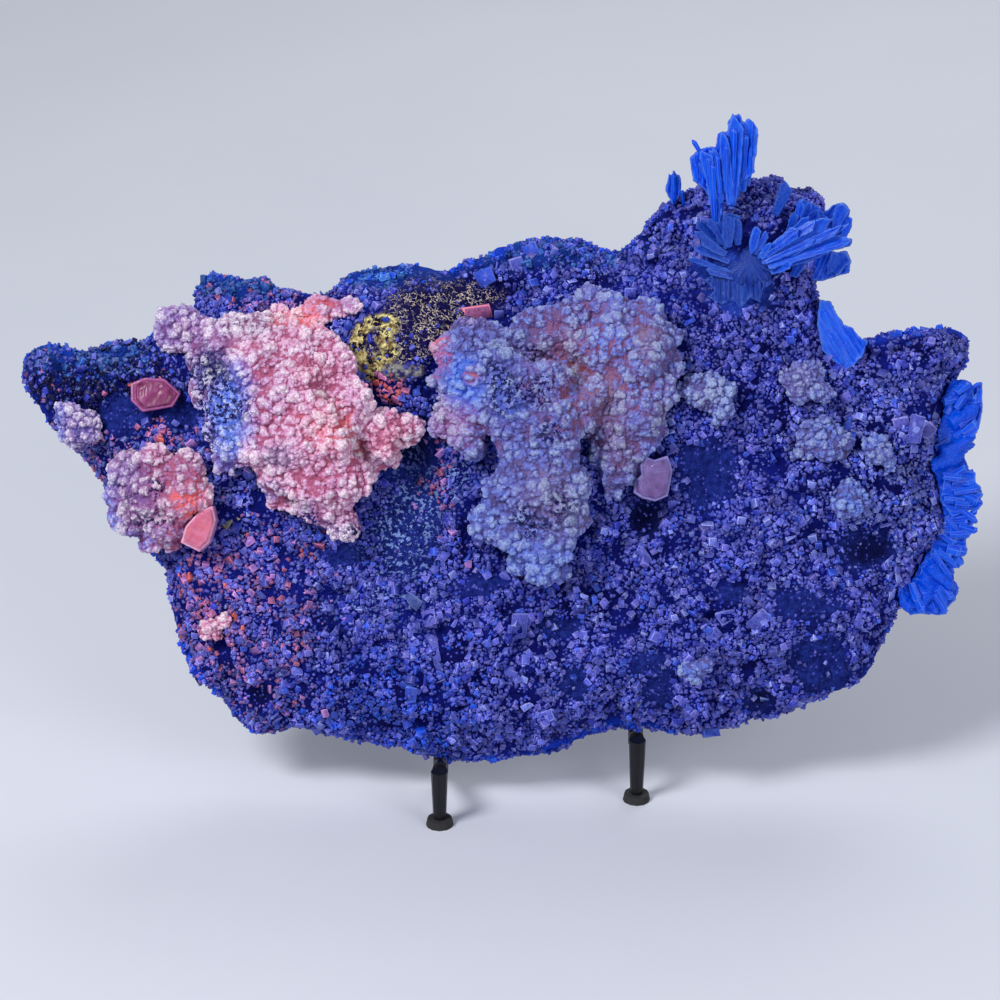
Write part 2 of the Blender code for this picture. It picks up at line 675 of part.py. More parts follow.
def make_easel(plane, rock, where, steel, rubber):
    """Two welded sides, each with a shelf arm, back rest, front leg and rear strut."""
    radii = (BAR_RADIUS, BAR_RADIUS)
    lower_ends = {}
    upper_ends = {}
    for side, (u, front_w) in EASEL_SIDES_MM.items():
        outwards = -1 if side == "left" else 1
        u, front_w = u * MM, front_w * MM
        below = [Vector((u, -PROBE_FROM, w)) for w in np.linspace(0, front_w, PROBES_ALONG)]
        v = first_touch(rock, below, Vector((0, 1, 0))) - PROBE_FROM
        behind = [
            Vector((u, rise, -PROBE_FROM)) for rise in np.linspace(0, BACK_REST_TOP_V, PROBES_ALONG)
        ]
        rest_w = first_touch(rock, behind, Vector((0, 0, 1))) - PROBE_FROM
        clear = BAR_RADIUS + GAP
        arm_front = tipped(plane, (u, v, front_w))
        bar(
            f"easel_arm_{side}",
            [tipped(plane, (u, v, rest_w + clear)), arm_front],
            radii, where, steel,
        )
        bar(
            f"easel_back_rest_{side}",
            [tipped(plane, (u, v - BAR_RADIUS, rest_w)), tipped(plane, (u, BACK_REST_TOP_V, rest_w))],
            radii, where, steel,
        )
        leg_y = arm_front.y - BAR_RADIUS - FRONT_LEG_TOP_RADIUS - GAP
        leg_top = Vector((u, leg_y, arm_front.z + BAR_RADIUS))
        bar(
            f"easel_front_leg_{side}",
            [leg_top, Vector((u, leg_y, FOOT_PAD_HEIGHT + GAP))],
            (FRONT_LEG_TOP_RADIUS, FRONT_LEG_FOOT_RADIUS), where, steel,
        )
        foot_pad(f"easel_foot_front_{side}", u, leg_y, where, rubber)
        strut_top = tipped(plane, (u, STRUT_TOP_V, rest_w - 2 * BAR_RADIUS - GAP))
        rear_u = u + outwards * REAR_SPLAY
        rear = Vector((rear_u, REAR_FOOT_Y, FOOT_PAD_HEIGHT + GAP))
        run = rear - strut_top
        # The strut's flat end is tilted, so it is raised until its low edge clears the pad.
        rear.z += BAR_RADIUS * run.xy.length / run.length
        bar(f"easel_rear_strut_{side}", [strut_top, rear], radii, where, steel)
        foot_pad(f"easel_foot_rear_{side}", rear_u, REAR_FOOT_Y, where, rubber)
        lower_ends[side] = strut_top.lerp(rear, LOWER_BAR_DOWN_STRUT)
        upper_ends[side] = tipped(plane, (u, UPPER_BAR_V, rest_w))
    for name, ends in (("easel_lower_bar", lower_ends), ("easel_upper_bar", upper_ends)):
        reach = BAR_RADIUS + GAP
        left, right = ends["left"].copy(), ends["right"].copy()
        along = (right - left).normalized()
        bar(name, [left + along * reach, right - along * reach], radii, where, steel)


def foot_pad(name, x, y, where, rubber):
    shape = bmesh.new()
    bmesh.ops.create_cone(
        shape,
        cap_ends=True,
        segments=FOOT_PAD_SIDES,
        radius1=FOOT_PAD_RADIUS,
        radius2=FOOT_PAD_RADIUS * 0.9,
        depth=FOOT_PAD_HEIGHT,
        matrix=Matrix.Translation((x, y, FOOT_PAD_HEIGHT / 2)),
    )
    mesh = bpy.data.meshes.new(name)
    shape.to_mesh(mesh)
    shape.free()
    return add_object(name, mesh, where, rubber)


def stand_on_origin(parts, tops):
    """Shifts the model so the middle of its footprint's bounding box is the origin."""
    bpy.context.view_layer.update()
    places = []
    for obj in parts:
        mesh = evaluated_copy(obj)
        places += [obj.matrix_world @ vertex.co for vertex in mesh.vertices]
        bpy.data.meshes.remove(mesh)
    low = [min(place[axis] for place in places) for axis in range(3)]
    high = [max(place[axis] for place in places) for axis in range(3)]
    shift = Vector(((low[0] + high[0]) / 2, (low[1] + high[1]) / 2, low[2]))
    for obj in tops:
        obj.location -= shift


def main():
    clear_scene()
    model = new_collection("flower_quartz")
    helpers = new_collection("cutters", hidden=True)
    plane = Matrix.Translation((0, 0, PLATE_LIFT)) @ Matrix.Rotation(
        math.radians(90 - LEAN_DEG), 4, "X"
    )
    rock_finish = finish("dark_rock", (0.035, 0.037, 0.11), 0.75)
    pink = finish("pink_calcite", (0.62, 0.33, 0.42), 0.55)
    lavender = finish("lavender_calcite", (0.36, 0.33, 0.62), 0.55)
    red = finish("red_calcite", (0.55, 0.19, 0.24), 0.35)
    quartz = finish("blue_quartz", (0.03, 0.13, 0.70), 0.2)
    steel = finish("black_steel", (0.012, 0.012, 0.014), 0.4, 0.6)
    rubber = finish("foot_rubber", (0.02, 0.02, 0.02), 0.8)

    rock = make_rock(model, helpers)
    rock.data.materials.append(rock_finish)
    rock_gap = clearance_of(rock, helpers)
    grown = [rock]

    crystal_gaps = []
    for name, (outline, rise, narrowing) in CALCITE_CRYSTALS_MM.items():
        crystal = make_crystal(name, outline, rise, narrowing, model)
        cut_by(crystal, rock_gap)
        crystal.data.materials.append(red)
        crystal_gaps.append(clearance_of(crystal, helpers))
        grown.append(crystal)

    for name, florets in CALCITE_FLOWERS_MM.items():
        triangles = FLOWER_TRIANGLES.get(name, SMALL_FLOWER_TRIANGLES)
        flower = make_flower(name, florets, triangles, model)
        cut_by(flower, rock_gap)
        for crystal_gap in crystal_gaps:
            cut_by(flower, crystal_gap)
        left_side = florets[0][0] < -20
        flower.data.materials.append(pink if left_side else lavender)
        grown.append(flower)

    quartz_flower = make_quartz_flower(model, helpers)
    spur, spur_group = make_prisms("quartz_spur", QUARTZ_SPUR_MM, model, helpers, 9)
    join_to(spur, spur_group)
    crust = make_crust(model, helpers)
    ledge = make_ledge(model)
    for piece in (quartz_flower, spur, crust, ledge):
        cut_by(piece, rock_gap)
        piece.data.materials.append(quartz)
        grown.append(piece)

    tip_back = bpy.data.objects.new("plate_plane", None)
    model.objects.link(tip_back)
    tip_back.matrix_world = plane
    for piece in grown:
        piece.parent = tip_back

    make_easel(plane, rock, model, steel, rubber)
    parts = [obj for obj in model.objects if obj.type != "EMPTY"]
    stand_on_origin(parts, [obj for obj in model.objects if not obj.parent])


main()
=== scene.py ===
import itertools
import math

import bpy
import numpy as np
from mathutils import Matrix, Vector
from mathutils.bvhtree import BVHTree


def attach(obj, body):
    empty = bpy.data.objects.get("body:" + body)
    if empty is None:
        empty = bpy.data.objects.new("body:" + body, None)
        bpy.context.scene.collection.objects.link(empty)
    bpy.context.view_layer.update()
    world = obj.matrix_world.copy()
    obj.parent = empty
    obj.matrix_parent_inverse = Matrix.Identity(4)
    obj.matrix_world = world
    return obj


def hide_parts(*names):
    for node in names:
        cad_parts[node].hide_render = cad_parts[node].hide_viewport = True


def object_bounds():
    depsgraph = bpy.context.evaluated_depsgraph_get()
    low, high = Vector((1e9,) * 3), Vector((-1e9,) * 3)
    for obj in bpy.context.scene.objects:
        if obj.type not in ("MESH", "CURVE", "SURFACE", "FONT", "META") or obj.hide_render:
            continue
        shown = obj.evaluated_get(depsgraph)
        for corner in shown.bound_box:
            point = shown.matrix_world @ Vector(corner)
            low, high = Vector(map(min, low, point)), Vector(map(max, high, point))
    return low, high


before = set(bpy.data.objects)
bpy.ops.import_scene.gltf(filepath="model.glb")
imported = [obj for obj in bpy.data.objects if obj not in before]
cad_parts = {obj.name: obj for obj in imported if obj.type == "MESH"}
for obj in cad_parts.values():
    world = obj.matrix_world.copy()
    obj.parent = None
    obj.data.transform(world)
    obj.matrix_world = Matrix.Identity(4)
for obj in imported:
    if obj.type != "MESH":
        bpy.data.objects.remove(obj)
cadLow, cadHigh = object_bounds()
mm = 0.001

# the plate leans back; u runs to the right, v up its face and w out of it, all in mm
plate = {"lean": math.radians(25), "foot": (-0.00063, -0.04353, 0.009)}
plateFoot = np.array(plate["foot"])
plateAxes = np.array([
    [1, 0, 0],
    [0, math.sin(plate["lean"]), math.cos(plate["lean"])],
    [0, -math.cos(plate["lean"]), math.sin(plate["lean"])],
])
outOfFace = Vector(plateAxes[2])


def fromPlate(uvw):
    return plateFoot + np.asarray(uvw, float) @ plateAxes * mm


def toPlate(points):
    return (points - plateFoot) @ plateAxes.T / mm


# the rim of the plate, clockwise from its left tip
rimLine = np.array([
    (-194, 158), (-191, 166), (-183, 171), (-171, 167), (-155, 173), (-139, 175),
    (-123, 187), (-120, 198), (-94, 199), (-76, 191), (-61, 201), (-38, 204),
    (-19, 200), (-1, 206), (8, 214), (30, 214), (46, 207), (65, 226), (74, 234),
    (112, 240), (127, 236), (132, 229), (131, 205), (128, 196), (137, 176),
    (146, 171), (172, 177), (185, 177), (191, 168), (180, 150), (177, 118),
    (180, 100), (175, 84), (158, 58), (147, 35), (116, 21), (80, 12), (46, 19),
    (8, 3), (-34, 6), (-66, 12), (-98, 13), (-114, 31), (-128, 48), (-137, 84),
    (-156, 109), (-179, 136), (-188, 149),
], float)


# noise on arrays of points

def gridHash(cells, seed):
    i, j, k = (cells[:, axis].astype(np.int64).astype(np.uint64) for axis in range(3))
    mixed = i * np.uint64(73856093) ^ j * np.uint64(19349663) ^ k * np.uint64(83492791)
    mixed = (mixed ^ np.uint64(seed * 2654435761)) * np.uint64(1274126177)
    mixed = (mixed ^ (mixed >> np.uint64(15))) * np.uint64(2246822519)
    return ((mixed ^ (mixed >> np.uint64(13))) & np.uint64(0xFFFF)).astype(float) / 65535


def valueNoise(points, size, seed):  # smooth, from 0 to 1, its size in the points' own units
    scaled = points / size
    base = np.floor(scaled)
    blend = scaled - base
    blend = blend * blend * (3 - 2 * blend)
    total = np.zeros(len(points))
    for corner in itertools.product((0, 1), repeat=3):
        share = np.prod(np.where(corner, blend, 1 - blend), axis=1)
        total += share * gridHash(base + corner, seed)
    return total


def roughNoise(points, size, seed, octaves=3):  # from -1 to 1
    total = np.zeros(len(points))
    for octave in range(octaves):
        total += (valueNoise(points, size / 2**octave, seed + octave) * 2 - 1) / 2**octave
    return total / 1.6


def cellField(points, size, seed):  # distances to the two nearest cell middles, and that cell's tone
    scaled = points / size
    base = np.floor(scaled)
    near = np.full(len(points), 9.0)
    second, tone = near.copy(), near.copy()
    for offset in itertools.product((-1, 0, 1), repeat=3):
        cell = base + offset
        middle = np.stack([gridHash(cell, seed + axis) for axis in range(3)], axis=1)
        gap = np.linalg.norm(cell + 0.1 + 0.8 * middle - scaled, axis=1)
        closer = gap < near
        second = np.where(closer, near, np.minimum(second, gap))
        tone = np.where(closer, gridHash(cell, seed + 7), tone)
        near = np.minimum(near, gap)
    return near, second, tone


def spotMask(uvw, spots, soft=0.3, ragged=0.3, seed=40):  # 1 inside ellipses (u, v, ru, rv)
    wobble = roughNoise(uvw, 9, seed) * ragged
    mask = np.zeros(len(uvw))
    for u, v, reachU, reachV in spots:
        away = np.hypot((uvw[:, 0] - u) / reachU, (uvw[:, 1] - v) / reachV) + wobble
        mask = np.maximum(mask, np.clip((1 + soft - away) / (2 * soft), 0, 1))
    return mask


def lineDistance(uvw, outline):  # to a closed outline of (u, v) places
    closest = np.full(len(uvw), 1e9)
    for start, end in zip(outline, np.roll(outline, -1, axis=0)):
        step = end - start
        share = np.clip((uvw[:, :2] - start) @ step / (step @ step), 0, 1)
        away = np.linalg.norm(uvw[:, :2] - start - share[:, None] * step, axis=1)
        closest = np.minimum(closest, away)
    return closest


def rimDistance(uvw):
    return lineDistance(uvw, rimLine)


# mesh helpers

def pickOnly(piece):
    bpy.ops.object.select_all(action="DESELECT")
    piece.select_set(True)
    bpy.context.view_layer.objects.active = piece


def applyModifier(piece, kind, **values):
    modifier = piece.modifiers.new(kind.lower(), kind)
    for key, value in values.items():
        setattr(modifier, key, value)
    pickOnly(piece)
    bpy.ops.object.modifier_apply(modifier=modifier.name)


def copyNode(nodeName, pieceName):
    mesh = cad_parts[nodeName].data.copy()
    mesh.materials.clear()
    piece = bpy.data.objects.new(pieceName, mesh)
    bpy.context.scene.collection.objects.link(piece)
    pickOnly(piece)
    bpy.ops.object.mode_set(mode="EDIT")
    bpy.ops.mesh.select_all(action="SELECT")
    bpy.ops.mesh.remove_doubles(threshold=0.00001)
    bpy.ops.object.mode_set(mode="OBJECT")
    return piece


def readPoints(piece):
    points = np.empty(len(piece.data.vertices) * 3, np.float32)
    piece.data.vertices.foreach_get("co", points)
    return points.reshape(-1, 3).astype(float)


def readNormals(piece):
    normals = np.empty(len(piece.data.vertices) * 3, np.float32)
    piece.data.vertex_normals.foreach_get("vector", normals)
    return normals.reshape(-1, 3).astype(float)


def writePoints(piece, points):
    low, high = np.array(cadLow) + 0.0001, np.array(cadHigh) - 0.0001
    piece.data.vertices.foreach_set("co", np.clip(points, low, high).astype(np.float32).ravel())
    piece.data.update()


def storeValue(piece, name, values):
    attribute = piece.data.attributes.new(name, "FLOAT", "POINT")
    attribute.data.foreach_set("value", np.asarray(values, np.float32))


def storeVector(piece, name, vectors):
    attribute = piece.data.attributes.new(name, "FLOAT_VECTOR", "POINT")
    attribute.data.foreach_set("vector", np.asarray(vectors, np.float32).ravel())


def storeColor(piece, name, colors):
    attribute = piece.data.attributes.new(name, "FLOAT_COLOR", "POINT")
    shades = np.column_stack([colors, np.ones(len(colors))])
    attribute.data.foreach_set("color", shades.astype(np.float32).ravel())


def readLoops(mesh):
    loops = np.empty(len(mesh.loops), np.int32)
    mesh.loops.foreach_get("vertex_index", loops)
    starts = np.empty(len(mesh.polygons), np.int32)
    mesh.polygons.foreach_get("loop_start", starts)
    return loops, starts


def copyMany(name, template, turns, places, tints):
    corners = readPoints(template)
    loops, starts = readLoops(template.data)
    count = np.arange(len(places))[:, None]
    points = np.einsum("nij,vj->nvi", turns, corners) + places[:, None]
    mesh = bpy.data.meshes.new(name)
    mesh.vertices.add(points.shape[0] * points.shape[1])
    mesh.vertices.foreach_set("co", points.astype(np.float32).ravel())
    mesh.loops.add(len(loops) * len(places))
    mesh.loops.foreach_set("vertex_index", (loops + count * len(corners)).astype(np.int32).ravel())
    mesh.polygons.add(len(starts) * len(places))
    mesh.polygons.foreach_set("loop_start", (starts + count * len(loops)).astype(np.int32).ravel())
    mesh.update(calc_edges=True)
    piece = bpy.data.objects.new(name, mesh)
    bpy.context.scene.collection.objects.link(piece)
    storeColor(piece, "tint", np.repeat(tints, len(corners), axis=0))
    edge = np.empty(len(starts), np.float32)
    template.data.attributes["edge"].data.foreach_get("value", edge)
    mesh.attributes.new("edge", "FLOAT", "FACE").data.foreach_set("value", np.tile(edge, len(places)))
    return piece


def leanTurns(ways, random, lean):  # rotations that set z near the given way
    upright = ways + random.normal(size=ways.shape) * lean
    upright /= np.linalg.norm(upright, axis=1)[:, None]
    side = np.cross(random.normal(size=ways.shape), upright)
    side /= np.linalg.norm(side, axis=1)[:, None]
    return np.stack([side, np.cross(upright, side), upright], axis=2)


def samplePoints(piece, count, random):  # even random places on a mesh, with their normals
    mesh = piece.data
    mesh.calc_loop_triangles()
    triangles = np.empty(len(mesh.loop_triangles) * 3, np.int32)
    mesh.loop_triangles.foreach_get("vertices", triangles)
    corners = readPoints(piece)[triangles.reshape(-1, 3)]
    across = np.cross(corners[:, 1] - corners[:, 0], corners[:, 2] - corners[:, 0])
    area = np.linalg.norm(across, axis=1)
    pick = random.choice(len(area), count, p=area / area.sum())
    a, b = np.sqrt(random.random(count)), random.random(count)
    weights = np.stack([1 - a, a * (1 - b), a * b], axis=1)
    places = np.einsum("nc,nci->ni", weights, corners[pick])
    return places, across[pick] / area[pick][:, None]


def thinOut(places, reach, taken=None):  # keeps places that stand clear of those before them
    cell = 0.004
    grid = taken if taken is not None else {}
    kept = []
    for index, (place, radius) in enumerate(zip(places.tolist(), reach.tolist())):
        home = tuple(int(math.floor(value / cell)) for value in place)
        clear = True
        for offset in itertools.product((-1, 0, 1), repeat=3):
            for x, y, z, other in grid.get((home[0] + offset[0], home[1] + offset[1], home[2] + offset[2]), ()):
                room = radius + other
                if (x - place[0]) ** 2 + (y - place[1]) ** 2 + (z - place[2]) ** 2 < room * room:
                    clear = False
                    break
            if not clear:
                break
        if clear:
            grid.setdefault(home, []).append((*place, radius))
            kept.append(index)
    return np.array(kept, int)


def treeOf(piece):
    corners = [vertex.co for vertex in piece.data.vertices]
    return BVHTree.FromPolygons(corners, [polygon.vertices for polygon in piece.data.polygons])


def dropPiece(piece):
    bpy.data.objects.remove(piece)


def joinPieces(pieces):
    bpy.ops.object.select_all(action="DESELECT")
    for piece in pieces:
        piece.select_set(True)
    bpy.context.view_layer.objects.active = pieces[0]
    bpy.ops.object.join()
    return pieces[0]


# shader helpers

def srgb(red, green, blue):
    shares = np.array([red, green, blue]) / 255
    return tuple(np.where(shares <= 0.04045, shares / 12.92, ((shares + 0.055) / 1.055) ** 2.4))


def plug(tree, socket, value):
    if isinstance(value, bpy.types.NodeSocket):
        tree.links.new(value, socket)
    elif isinstance(value, tuple) and len(value) == 3 and socket.type == "RGBA":
        socket.default_value = (*value, 1)
    else:
        socket.default_value = value


def addNode(tree, kind, inputs=None, **options):
    node = tree.nodes.new("ShaderNode" + kind)
    for option, value in options.items():
        setattr(node, option, value)
    for socket, value in (inputs or {}).items():
        plug(tree, node.inputs[socket], value)
    return node


def mixColors(tree, share, first, second, blend="MIX"):
    sockets = {0: share, 6: first, 7: second}
    return addNode(tree, "Mix", sockets, data_type="RGBA", blend_type=blend, clamp_result=True).outputs[2]


def doMath(tree, operation, first, second=0.0, clamp=False):
    return addNode(tree, "Math", {0: first, 1: second}, operation=operation, use_clamp=clamp).outputs[0]


def remap(tree, value, low, high, toLow=0.0, toHigh=1.0):
    sockets = {"Value": value, "From Min": low, "From Max": high, "To Min": toLow, "To Max": toHigh}
    return addNode(tree, "MapRange", sockets).outputs["Result"]


def readMask(tree, name):
    return addNode(tree, "Attribute", attribute_name=name).outputs["Fac"]


def readTint(tree, name="tint"):
    return addNode(tree, "Attribute", attribute_name=name).outputs["Color"]


def noiseOf(tree, place, scale, detail=3.0, roughness=0.6):
    sockets = {"Vector": place, "Scale": scale, "Detail": detail, "Roughness": roughness}
    return addNode(tree, "TexNoise", sockets).outputs["Fac"]


def newFinish(name, constants):
    material = bpy.data.materials.new(name)
    material.use_nodes = True
    tree = material.node_tree
    shader = tree.nodes["Principled BSDF"]
    for socket, value in constants.items():
        plug(tree, shader.inputs[socket], value)
    place = addNode(tree, "TexCoord").outputs["Object"]
    return material, tree, shader, place


def makeGroup(name, inputs, outputs):
    group = bpy.data.node_groups.new(name, "ShaderNodeTree")
    for socket, (kind, value) in inputs.items():
        group.interface.new_socket(socket, in_out="INPUT", socket_type="NodeSocket" + kind).default_value = value
    for socket, kind in outputs.items():
        group.interface.new_socket(socket, in_out="OUTPUT", socket_type="NodeSocket" + kind)
    place = addNode(group, "TexCoord").outputs["Object"]
    return group, place, group.nodes.new("NodeGroupInput").outputs, group.nodes.new("NodeGroupOutput").inputs


def useGroup(tree, group, inputs):
    node = tree.nodes.new("ShaderNodeGroup")
    node.node_tree = group
    for socket, value in inputs.items():
        plug(tree, node.inputs[socket], value)
    return node.outputs


# crystal grain, as a height for bump and a mask of single bright grains
grainGroup, grainPlace, grainIn, grainOut = makeGroup(
    "crystalGrain",
    {"Grains per metre": ("Float", 900.0), "Bright share": ("Float", 0.3)},
    {"Height": "Float", "Bright": "Float"},
)
grainCells = addNode(grainGroup, "TexVoronoi", {"Vector": grainPlace, "Scale": grainIn["Grains per metre"]})
grainSwell = noiseOf(grainGroup, grainPlace, 260.0)
grainDome = doMath(grainGroup, "SUBTRACT", 1.0, grainCells.outputs["Distance"])
grainTotal = doMath(grainGroup, "ADD", grainDome, doMath(grainGroup, "MULTIPLY", grainSwell, 0.7))
grainPick = addNode(grainGroup, "SeparateColor", {0: grainCells.outputs["Color"]}).outputs[0]
grainLit = doMath(grainGroup, "LESS_THAN", grainPick, grainIn["Bright share"])
grainInside = remap(grainGroup, grainCells.outputs["Distance"], 0.6, 0.3)
grainGroup.links.new(grainTotal, grainOut["Height"])
grainGroup.links.new(doMath(grainGroup, "MULTIPLY", grainLit, grainInside), grainOut["Bright"])

print("helpers ready")

# camera, light and floor

view = {"aim": (0, 108, 18), "distance": 1500, "lens": 135, "sensor": 36}
cameraData = bpy.data.cameras.new("camera")
cameraData.lens = view["lens"]
cameraData.sensor_width = view["sensor"]
camera = bpy.data.objects.new("camera", cameraData)
aimU, aimV, aimW = view["aim"]
camera.matrix_world = Matrix.Translation(fromPlate((aimU, aimV, aimW + view["distance"]))) @ Matrix(plateAxes.T).to_4x4()
bpy.context.scene.collection.objects.link(camera)
bpy.context.scene.camera = camera
bpy.context.scene.view_settings.view_transform = "Standard"

studio = {
    "key": {"at": (-0.85, -0.75, 1.25), "size": 0.55, "power": 19},
    "fill": {"at": (1.1, -1.2, 0.9), "size": 1.0, "power": 8},
    "rear": {"at": (0.5, 1.2, 1.3), "size": 1.2, "power": 10},
}
for lightName, lamp in studio.items():
    lightData = bpy.data.lights.new(lightName, "AREA")
    lightData.shape = "DISK"
    lightData.size = lamp["size"]
    lightData.energy = lamp["power"]
    light = bpy.data.objects.new(lightName, lightData)
    light.location = lamp["at"]
    light.rotation_euler = (Vector((0, 0, 0.12)) - light.location).to_track_quat("-Z", "Y").to_euler()
    bpy.context.scene.collection.objects.link(light)

world = bpy.data.worlds.new("studio")
world.use_nodes = True
world.node_tree.nodes["Background"].inputs["Color"].default_value = (0.80, 0.84, 0.92, 1)
world.node_tree.nodes["Background"].inputs["Strength"].default_value = 0.34
bpy.context.scene.world = world

pickOnly(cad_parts["rock_plate"])
bpy.ops.object.select_all(action="DESELECT")
bpy.ops.mesh.primitive_plane_add(size=8, location=(0, 1, 0))
floor = bpy.context.object
floor.name = "floor"
floorFinish, floorTree, floorShader, floorPlace = newFinish("paleFloor", {"Roughness": 0.75})
floorMottle = noiseOf(floorTree, floorPlace, 3.0, 4.0)
plug(floorTree, floorShader.inputs["Base Color"], mixColors(
    floorTree, floorMottle, srgb(205, 209, 222), srgb(216, 219, 229)))
floor.data.materials.append(floorFinish)

# rock

rock = {
    "voxel": 0.0016,
    "lumps": 1.3,
    "mounds": 1.5,
    "moundSize": 8,
    "crumbs": 0.5,
    "slate": [  # smoother, barer places: u, v, reach u, reach v
        (-38, 125, 16, 14), (-36, 97, 13, 20), (-150, 142, 11, 9), (58, 100, 7, 9),
        (82, 119, 13, 15), (146, 88, 12, 8), (122, 66, 14, 7), (127, 43, 14, 13),
        (60, 42, 9, 6), (30, 35, 6, 7), (104, 28, 6, 5), (-126, 141, 8, 8), (-62, 86, 9, 5),
        (92, 71, 7, 4), (63, 33, 6, 9), (24, 57, 9, 5), (-8, 74, 12, 4),
    ],
    "pits": [(58, 100, 6, 7), (105, 28, 5, 4), (-38, 130, 10, 8), (146, 88, 9, 5), (-96, 30, 6, 5)],
    "yellow": [  # a ring along this line, with a core of blotches
        (-45.6, 179.4), (-52.7, 177.4), (-56.3, 172.8), (-56.8, 167.2), (-54.2, 163.1), (-51.7, 158), (-47.6, 162.1),
        (-42.5, 166.2), (-46.1, 171.3), (-42.5, 177.4)],
    "yellowWidth": 3.6,
    "ledge": [(-38, 158.5, 8, 3)],
    "mottled": [(-49, 170, 6, 7), (-29, 180, 16, 15), (-14, 188, 14, 7), (-37, 167, 10, 8)],
    "fan": [(96, 191, 13, 10), (88, 200, 12, 6)],
    "cool": [(-106, 196, 18, 6), (-50, 200, 15, 6), (-28, 200, 10, 5), (8, 208, 40, 7), (-165, 166, 25, 8)],
    "grit": [(-38, 98, 14, 22), (-22, 118, 9, 7), (-52, 68, 12, 10)],
}


def moundsAt(uvw):  # 1 on top of a clump of crystals, 0 between clumps
    return np.clip(1.25 - cellField(uvw, rock["moundSize"], 21)[0] * 1.8, 0, 1)


rockPiece = copyNode("rock_plate", "rockMatrix")
applyModifier(rockPiece, "REMESH", mode="VOXEL", voxel_size=rock["voxel"])
points, normals = readPoints(rockPiece), readNormals(rockPiece)
uvw = toPlate(points)
outward = normals @ plateAxes[2]
front = np.clip(outward * 2 + 0.6, 0, 1)
slate = spotMask(uvw, rock["slate"]) * front
# pits: sunk into the face below, and painted darker in the rock finish as painted shade
pits = spotMask(uvw, rock["pits"], soft=0.5) * front
ringAway = lineDistance(uvw, np.array(rock["yellow"])) + 1.6 * roughNoise(uvw, 5, 47)
yellow = np.clip((rock["yellowWidth"] - ringAway) / 1.4, 0, 1) * front
mottled = spotMask(uvw, rock["mottled"]) * front
fan = spotMask(uvw, rock["fan"]) * front
ledge = spotMask(uvw, rock["ledge"], 0.2, 0.3) * front
cool = spotMask(uvw, rock["cool"], 0.5, 0.5)
grit = spotMask(uvw, rock["grit"], 0.5, 0.6) * front
bare = np.maximum.reduce([slate, mottled * 0.9, fan])
lift = rock["lumps"] * roughNoise(uvw, 13, 3)
lift += rock["mounds"] * (moundsAt(uvw) - 0.5) * (1 - bare)
lift += rock["crumbs"] * (0.55 - cellField(uvw, 3.0, 11)[0]) * 2 * (1 - 0.6 * slate)
lift += 1.2 * ledge + (mottled + yellow) * 0.7 * roughNoise(uvw, 2.2, 91, 2)
lift -= 3.0 * pits
lift = np.where(outward < 0.1, np.minimum(lift * 0.8, 0.2) - 0.3, lift)
writePoints(rockPiece, points + normals * lift[:, None] * mm)
# rim: a blue band along the outline of the plate, painted rim light
rim = np.clip(1.1 - rimDistance(uvw) / 2.6, 0, 1) * np.clip(0.6 + roughNoise(uvw, 30, 57), 0.2, 1)
for name, values in {"slate": slate, "pit": pits, "yellow": yellow, "mottled": mottled, "fan": fan,
                     "ledge": ledge, "cool": cool, "grit": grit, "rim": rim, "rise": np.clip(lift / 3 + 0.5, 0, 1)}.items():
    storeValue(rockPiece, name, values)
print("rock", len(rockPiece.data.polygons))

rockFinish, tree, shader, place = newFinish("darkRock", {"Specular IOR Level": 0.08})
grain = useGroup(tree, grainGroup, {"Grains per metre": 900.0, "Bright share": 0.12})
clouds = noiseOf(tree, place, 45.0, 5.0)
fine = noiseOf(tree, place, 420.0, 3.0)
color = mixColors(tree, remap(tree, clouds, 0.38, 0.62), srgb(3, 5, 74), srgb(12, 22, 116))
slateColor = mixColors(tree, remap(tree, fine, 0.35, 0.65), srgb(9, 20, 92), srgb(36, 54, 142))
color = mixColors(tree, doMath(tree, "MULTIPLY", readMask(tree, "slate"), 0.85), color, slateColor)
color = mixColors(tree, doMath(tree, "MULTIPLY", readMask(tree, "cool"), 0.6), color, srgb(22, 66, 160))
# painted shade: the pits are darkened in colour
color = mixColors(tree, doMath(tree, "MULTIPLY", readMask(tree, "pit"), 0.85), color, srgb(3, 4, 48))
color = mixColors(tree, grain["Bright"], color, srgb(72, 80, 182))
flecks = noiseOf(tree, place, 620.0, 2.0)
color = mixColors(tree, doMath(tree, "MULTIPLY", readMask(tree, "grit"), remap(tree, flecks, 0.55, 0.6)), color, srgb(124, 148, 212))
veins = doMath(tree, "ABSOLUTE", doMath(tree, "SUBTRACT", noiseOf(tree, place, 520.0, 2.0, 0.6), 0.5))
mottling = doMath(tree, "MULTIPLY", remap(tree, veins, 0.036, 0.014), remap(tree, noiseOf(tree, place, 200.0, 3.0), 0.42, 0.55))
color = mixColors(tree, doMath(tree, "MULTIPLY", readMask(tree, "mottled"), 0.95), color,
                  mixColors(tree, mottling, mixColors(tree, clouds, srgb(4, 2, 54), srgb(26, 18, 80)), srgb(224, 208, 188)))
color = mixColors(tree, readMask(tree, "yellow"), color,
                  mixColors(tree, remap(tree, noiseOf(tree, place, 360.0, 4.0, 0.7), 0.44, 0.49),
                            srgb(16, 8, 46), mixColors(tree, remap(tree, fine, 0.4, 0.62), srgb(128, 104, 66), srgb(246, 234, 160))))
color = mixColors(tree, readMask(tree, "ledge"), color, mixColors(tree, remap(tree, fine, 0.42, 0.6), srgb(40, 38, 92), srgb(150, 148, 144)))
color = mixColors(tree, readMask(tree, "fan"), color,
                  mixColors(tree, remap(tree, fine, 0.3, 0.7), srgb(8, 34, 130), srgb(48, 78, 186)))
# painted rim light: a blue band along the outline
color = mixColors(tree, doMath(tree, "MULTIPLY", readMask(tree, "rim"), 0.8), color, srgb(24, 66, 214))
plug(tree, shader.inputs["Base Color"], color)
plug(tree, shader.inputs["Roughness"], remap(tree, fine, 0.3, 0.7, 0.6, 0.9))
